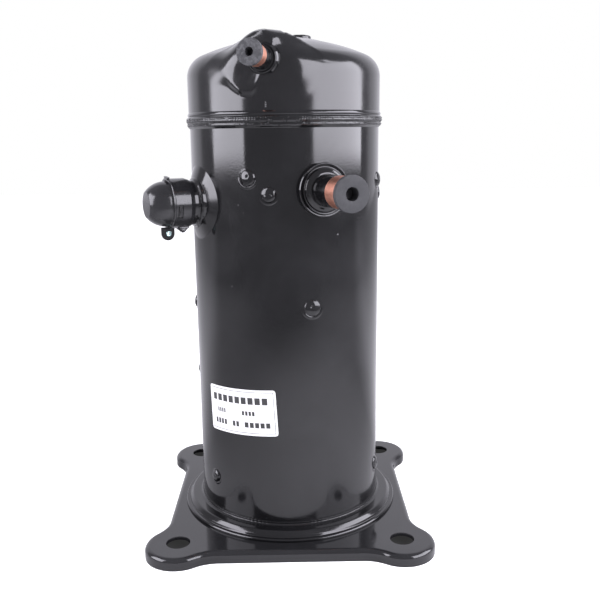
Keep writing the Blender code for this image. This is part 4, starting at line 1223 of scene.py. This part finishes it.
NODE_FINISHES = {
    "Cast iron": ["fixed_scroll", "orbiting_scroll", "main_frame", "lower_frame", "upper_counterweight",
                  "lower_counterweight"],
    "Machined steel": ["crankshaft", "frame_bolt_1", "frame_bolt_2", "frame_bolt_3", "frame_bolt_4",
                       "separator_plate", "terminal_header", "relief_valve_body", "relief_valve_poppet",
                       "check_valve_cage", "check_valve_disc", "suction_baffle", "oil_pickup", "sump_magnet"],
    "Core sheets": ["stator_core", "rotor_core"],
    "Coil wire": ["upper_winding", "lower_winding"],
    "Cast aluminium": ["upper_end_ring", "lower_end_ring", "oldham_ring"],
    "Bearing bronze": ["lower_bearing_bush", "main_bearing_bush", "scroll_hub_bush", "slider_block"],
    "Seal rubber": ["floating_seal"],
    "Latch plastic": ["motor_protector"],
    "Pin copper": ["terminal_pin_1", "terminal_pin_2", "terminal_pin_3"],
    "Pin glass": ["terminal_glass_1", "terminal_glass_2", "terminal_glass_3"],
}


def finish_works():
    for label, nodes in NODE_FINISHES.items():
        for name in nodes:
            mesh = frame["nodes"][name].data
            mesh.materials.clear()
            mesh.materials.append(finish(label))
            mesh.polygons.foreach_set("material_index", [0] * len(mesh.polygons))


# Stage

CAMERA_PLACE = Vector((4.627, -698.794, 349.508)) * MM
CAMERA_YAW = -0.0102
CAMERA_PITCH = 0.2120
CAMERA_ROLL = -0.0125


def add_camera():
    yaw, pitch, roll = CAMERA_YAW, CAMERA_PITCH, CAMERA_ROLL
    ahead = Vector((-math.sin(yaw) * math.cos(pitch), math.cos(yaw) * math.cos(pitch), -math.sin(pitch)))
    right = Vector((math.cos(yaw), math.sin(yaw), 0))
    up = right.cross(ahead)
    right, up = math.cos(roll) * right + math.sin(roll) * up, math.cos(roll) * up - math.sin(roll) * right
    lens = bpy.data.cameras.new("camera")
    lens.lens = bpy.context.scene.compressor_stage.lens
    lens.sensor_width = 36.0
    lens.clip_start, lens.clip_end = 0.02, 40.0
    camera = link("camera", lens)
    camera.matrix_world = Matrix.Translation(CAMERA_PLACE) @ Matrix((right, up, -ahead)).transposed().to_4x4()
    bpy.context.scene.camera = camera


# Centre of the pool of light painted into the floor's colour, in metres.
PAINTED_LIGHT_SPOT = (0.12, -0.27, 0.0)
# Sizes of the dark sheet of painted shade under the foot plate and its ears, then the floor's camera-only glow
# outside and inside that painted shade.
SHADE_SIDE, SHADE_FRONT = 0.106, 0.1075
SHADE_EAR, SHADE_EAR_R = 0.0953, 0.026
FLOOR_GLOW, SHADE_GLOW = 0.75, 0.03


def add_floor():
    """Pale sheet with painted light and shade: a painted pool of light before the object, paler painted floor
    behind it and a dark sheet of painted shade beneath the foot plate.
    """
    mesh = bpy.data.meshes.new("floor")
    rows, columns = (-0.85, -0.6, -0.3, 0.0, 0.6, 1.6, 4.0), (-2.6, -0.8, 0.0, 0.8, 2.6)
    wide = len(columns)
    corners = [row * wide + column for row in range(len(rows) - 1) for column in range(wide - 1)]
    mesh.from_pydata([(x, y, 0.0) for y in rows for x in columns], [],
                     [(corner, corner + 1, corner + wide + 1, corner + wide) for corner in corners])
    link("floor", mesh)
    made, net, sockets = new_finish("Floor paper")
    pale = bpy.context.scene.compressor_stage.floor
    place = net.place()
    # Painted pool of light: the floor's colour is paler round this spot and darker further off.
    painted_light_pool = net.span(net.distance(place, PAINTED_LIGHT_SPOT), 0.1, 0.62, 1.0, 0.0, True)
    grain = net.math("MULTIPLY", net.noise(place, 900.0, 3.0), 0.03)
    depth = net.node("ShaderNodeSeparateXYZ", {"Vector": place}).outputs["Y"]
    # Painted light: the floor's colour is also paler behind the object.
    behind = net.span(depth, -0.1, 0.35, 0.0, 0.9, True)
    share = net.math("SUBTRACT", net.math("MAXIMUM", painted_light_pool, behind), grain, clamp=True)
    shade = net.blend(share, rgba([part * 0.38 for part in pale]), rgba(pale))
    folded = net.vector("ABSOLUTE", place, (0, 0, 0))
    parts = net.node("ShaderNodeSeparateXYZ", {"Vector": folded}).outputs
    # Painted shade: a dark sheet of colour beneath the foot plate and its ears.
    beneath = net.math("MULTIPLY", net.math("LESS_THAN", parts["X"], SHADE_SIDE),
                       net.math("LESS_THAN", parts["Y"], SHADE_FRONT))
    ear = net.math("LESS_THAN", net.distance(folded, (SHADE_EAR, SHADE_EAR, 0.0)), SHADE_EAR_R)
    beneath = net.math("MAXIMUM", beneath, ear)
    net.feed(sockets["Base Color"], net.blend(beneath, shade, (0.03, 0.03, 0.03, 1.0)))
    sockets["Roughness"].default_value = 0.8
    sockets["Specular IOR Level"].default_value = 0.2
    seen = net.node("ShaderNodeLightPath").outputs["Is Camera Ray"]
    # The camera-only glow keeps the floor evenly white, but drops to SHADE_GLOW in the painted shade beneath the
    # plate.
    clear = net.span(beneath, 0.0, 1.0, FLOOR_GLOW, SHADE_GLOW)
    glow = net.node("ShaderNodeEmission", {"Strength": net.math("MULTIPLY", seen, clear)})
    surface = net.tree.nodes["Principled BSDF"].outputs[0]
    both = net.node("ShaderNodeAddShader", {0: surface, 1: glow.outputs[0]})
    net.feed(net.tree.nodes["Material Output"].inputs["Surface"], both.outputs[0])
    mesh.materials.append(made)


LIGHT_TINT = (0.98, 0.965, 1.06, 1.0)
SOFTBOX_AWAY, SOFTBOX_LOW, SOFTBOX_HIGH, SOFTBOX_FADE = 1.3, 0.24, 1.35, 0.075


def add_softbox(name, azimuth, half_width, columns=16, rows=12):
    """A tall curved softbox that fades out at its lower edge."""
    points = [polar(SOFTBOX_AWAY, azimuth + half_width * (2 * column / columns - 1),
                    SOFTBOX_LOW + (SOFTBOX_HIGH - SOFTBOX_LOW) * row / rows)
              for row in range(rows + 1) for column in range(columns + 1)]
    corners = [row * (columns + 1) + column for row in range(rows) for column in range(columns)]
    mesh = bpy.data.meshes.new(name)
    mesh.from_pydata(points, [], [(corner, corner + 1, corner + columns + 2, corner + columns + 1)
                                  for corner in corners])
    box = link(name, mesh)
    box.visible_camera = False
    made = bpy.data.materials.new(name)
    made.use_nodes = True
    made.node_tree.nodes.clear()
    net = Net(made.node_tree)
    height = net.node("ShaderNodeSeparateXYZ", {"Vector": net.place()}).outputs["Z"]
    strength = net.span(height, SOFTBOX_LOW, SOFTBOX_LOW + SOFTBOX_FADE, 0.0,
                        bpy.context.scene.compressor_stage.softbox, True)
    glow = net.node("ShaderNodeEmission", {"Color": LIGHT_TINT, "Strength": strength})
    net.node("ShaderNodeOutputMaterial", {"Surface": glow.outputs[0]})
    mesh.materials.append(made)


def light_room():
    """White room behind, a darker one behind the camera and a dim strip at each softbox's far edge."""
    room = bpy.context.scene.compressor_stage.room
    world = bpy.data.worlds.new("room")
    bpy.context.scene.world = world
    world.use_nodes = True
    world.node_tree.nodes.clear()
    net = Net(world.node_tree)
    toward = net.node("ShaderNodeSeparateXYZ", {"Vector": net.place()}).outputs["Y"]
    ramp = net.node("ShaderNodeValToRGB", {"Fac": net.span(toward, -1.0, 1.0)})
    stops = [(0.0, room), (0.55, room), (0.66, 0.5), (0.71, 0.5), (0.77, 1.1), (0.9, 1.25), (1.0, 1.0)]
    while len(ramp.color_ramp.elements) < len(stops):
        ramp.color_ramp.elements.new(0.5)
    for element, (position, value) in zip(ramp.color_ramp.elements, stops):
        element.position = position
        element.color = (*(value / 2 * part for part in LIGHT_TINT[:3]), 1.0)
    seen = net.node("ShaderNodeLightPath").outputs["Is Camera Ray"]
    shown = net.node("ShaderNodeMix", {0: seen, 6: ramp.outputs["Color"], 7: (0.5, 0.5, 0.5, 1.0)},
                     data_type="RGBA").outputs[2]
    back = net.node("ShaderNodeBackground", {"Color": shown, "Strength": 2.0})
    net.node("ShaderNodeOutputWorld", {"Surface": back.outputs[0]})


def build_stage():
    add_floor()
    add_softbox("softbox_left", -69, 22)
    add_softbox("softbox_right", 67, 34)
    light_room()
    add_camera()
    bpy.context.scene.view_settings.view_transform = "Standard"


# Operators and panel

class COMPRESSOR_OT_can(bpy.types.Operator):
    """Build the shell, its plug welds and the top cap with its boss"""
    bl_idname = "compressor.can"
    bl_label = "Can and cap"

    def execute(self, context):
        build_shell()
        build_nuggets()
        build_cap()
        return {"FINISHED"}


class COMPRESSOR_OT_welds(bpy.types.Operator):
    """Build the two weld beads round the can"""
    bl_idname = "compressor.welds"
    bl_label = "Weld beads"

    def execute(self, context):
        build_seam_bead()
        build_foot_bead()
        return {"FINISHED"}


class COMPRESSOR_OT_base(bpy.types.Operator):
    """Build the sump dish and the foot plate"""
    bl_idname = "compressor.base"
    bl_label = "Sump and foot plate"

    def execute(self, context):
        build_sump()
        build_plate()
        return {"FINISHED"}


class COMPRESSOR_OT_suction(bpy.types.Operator):
    """Build the suction flare, pipe and plug"""
    bl_idname = "compressor.suction"
    bl_label = "Suction fitting"

    def execute(self, context):
        build_suction()
        return {"FINISHED"}


class COMPRESSOR_OT_discharge(bpy.types.Operator):
    """Build the discharge flare, pipe and plug"""
    bl_idname = "compressor.discharge"
    bl_label = "Discharge fitting"

    def execute(self, context):
        build_discharge()
        return {"FINISHED"}


class COMPRESSOR_OT_cover(bpy.types.Operator):
    """Build the terminal ring and its pull-off cover"""
    bl_idname = "compressor.cover"
    bl_label = "Terminal cover"

    def execute(self, context):
        build_pad()
        build_fence()
        build_cover()
        return {"FINISHED"}


class COMPRESSOR_OT_label(bpy.types.Operator):
    """Build the blank rating label"""
    bl_idname = "compressor.label"
    bl_label = "Rating label"

    def execute(self, context):
        build_label()
        return {"FINISHED"}


class COMPRESSOR_OT_works(bpy.types.Operator):
    """Finish the scroll pump, the motor and the shaft"""
    bl_idname = "compressor.works"
    bl_label = "Inner works"

    def execute(self, context):
        finish_works()
        return {"FINISHED"}


class COMPRESSOR_OT_stage(bpy.types.Operator):
    """Build the floor, the lights and the camera"""
    bl_idname = "compressor.stage"
    bl_label = "Stage"

    def execute(self, context):
        build_stage()
        return {"FINISHED"}


OPERATORS = [COMPRESSOR_OT_can, COMPRESSOR_OT_welds, COMPRESSOR_OT_base, COMPRESSOR_OT_suction,
             COMPRESSOR_OT_discharge, COMPRESSOR_OT_cover, COMPRESSOR_OT_label, COMPRESSOR_OT_works,
             COMPRESSOR_OT_stage]
SETTINGS = {"compressor_shell": ShellSettings, "compressor_fittings": FittingSettings,
            "compressor_cover": CoverSettings, "compressor_label": LabelSettings,
            "compressor_works": WorksSettings, "compressor_stage": StageSettings}


class COMPRESSOR_PT_panel(bpy.types.Panel):
    """Sizes, colours and builders of the compressor"""
    bl_idname = "COMPRESSOR_PT_panel"
    bl_label = "Compressor"
    bl_space_type = "VIEW_3D"
    bl_region_type = "UI"
    bl_category = "Compressor"

    def draw(self, context):
        for label, group in SETTINGS.items():
            column = self.layout.column(align=True)
            column.label(text=label.split("_")[1].capitalize())
            for name in group.__annotations__:
                column.prop(getattr(context.scene, label), name)
        for operator in OPERATORS:
            self.layout.operator(operator.bl_idname)


def register():
    for part in list(SETTINGS.values()) + OPERATORS + [COMPRESSOR_PT_panel]:
        bpy.utils.register_class(part)
    for label, group in SETTINGS.items():
        setattr(bpy.types.Scene, label, PointerProperty(type=group))


def unregister():
    for label in SETTINGS:
        delattr(bpy.types.Scene, label)
    for part in reversed(list(SETTINGS.values()) + OPERATORS + [COMPRESSOR_PT_panel]):
        bpy.utils.unregister_class(part)


def main():
    register()
    bpy.ops.compressor.can()
    bpy.ops.compressor.welds()
    bpy.ops.compressor.base()
    bpy.ops.compressor.suction()
    bpy.ops.compressor.discharge()
    bpy.ops.compressor.cover()
    bpy.ops.compressor.label()
    bpy.ops.compressor.works()
    bpy.ops.compressor.stage()


if __name__ == "__main__":
    main()
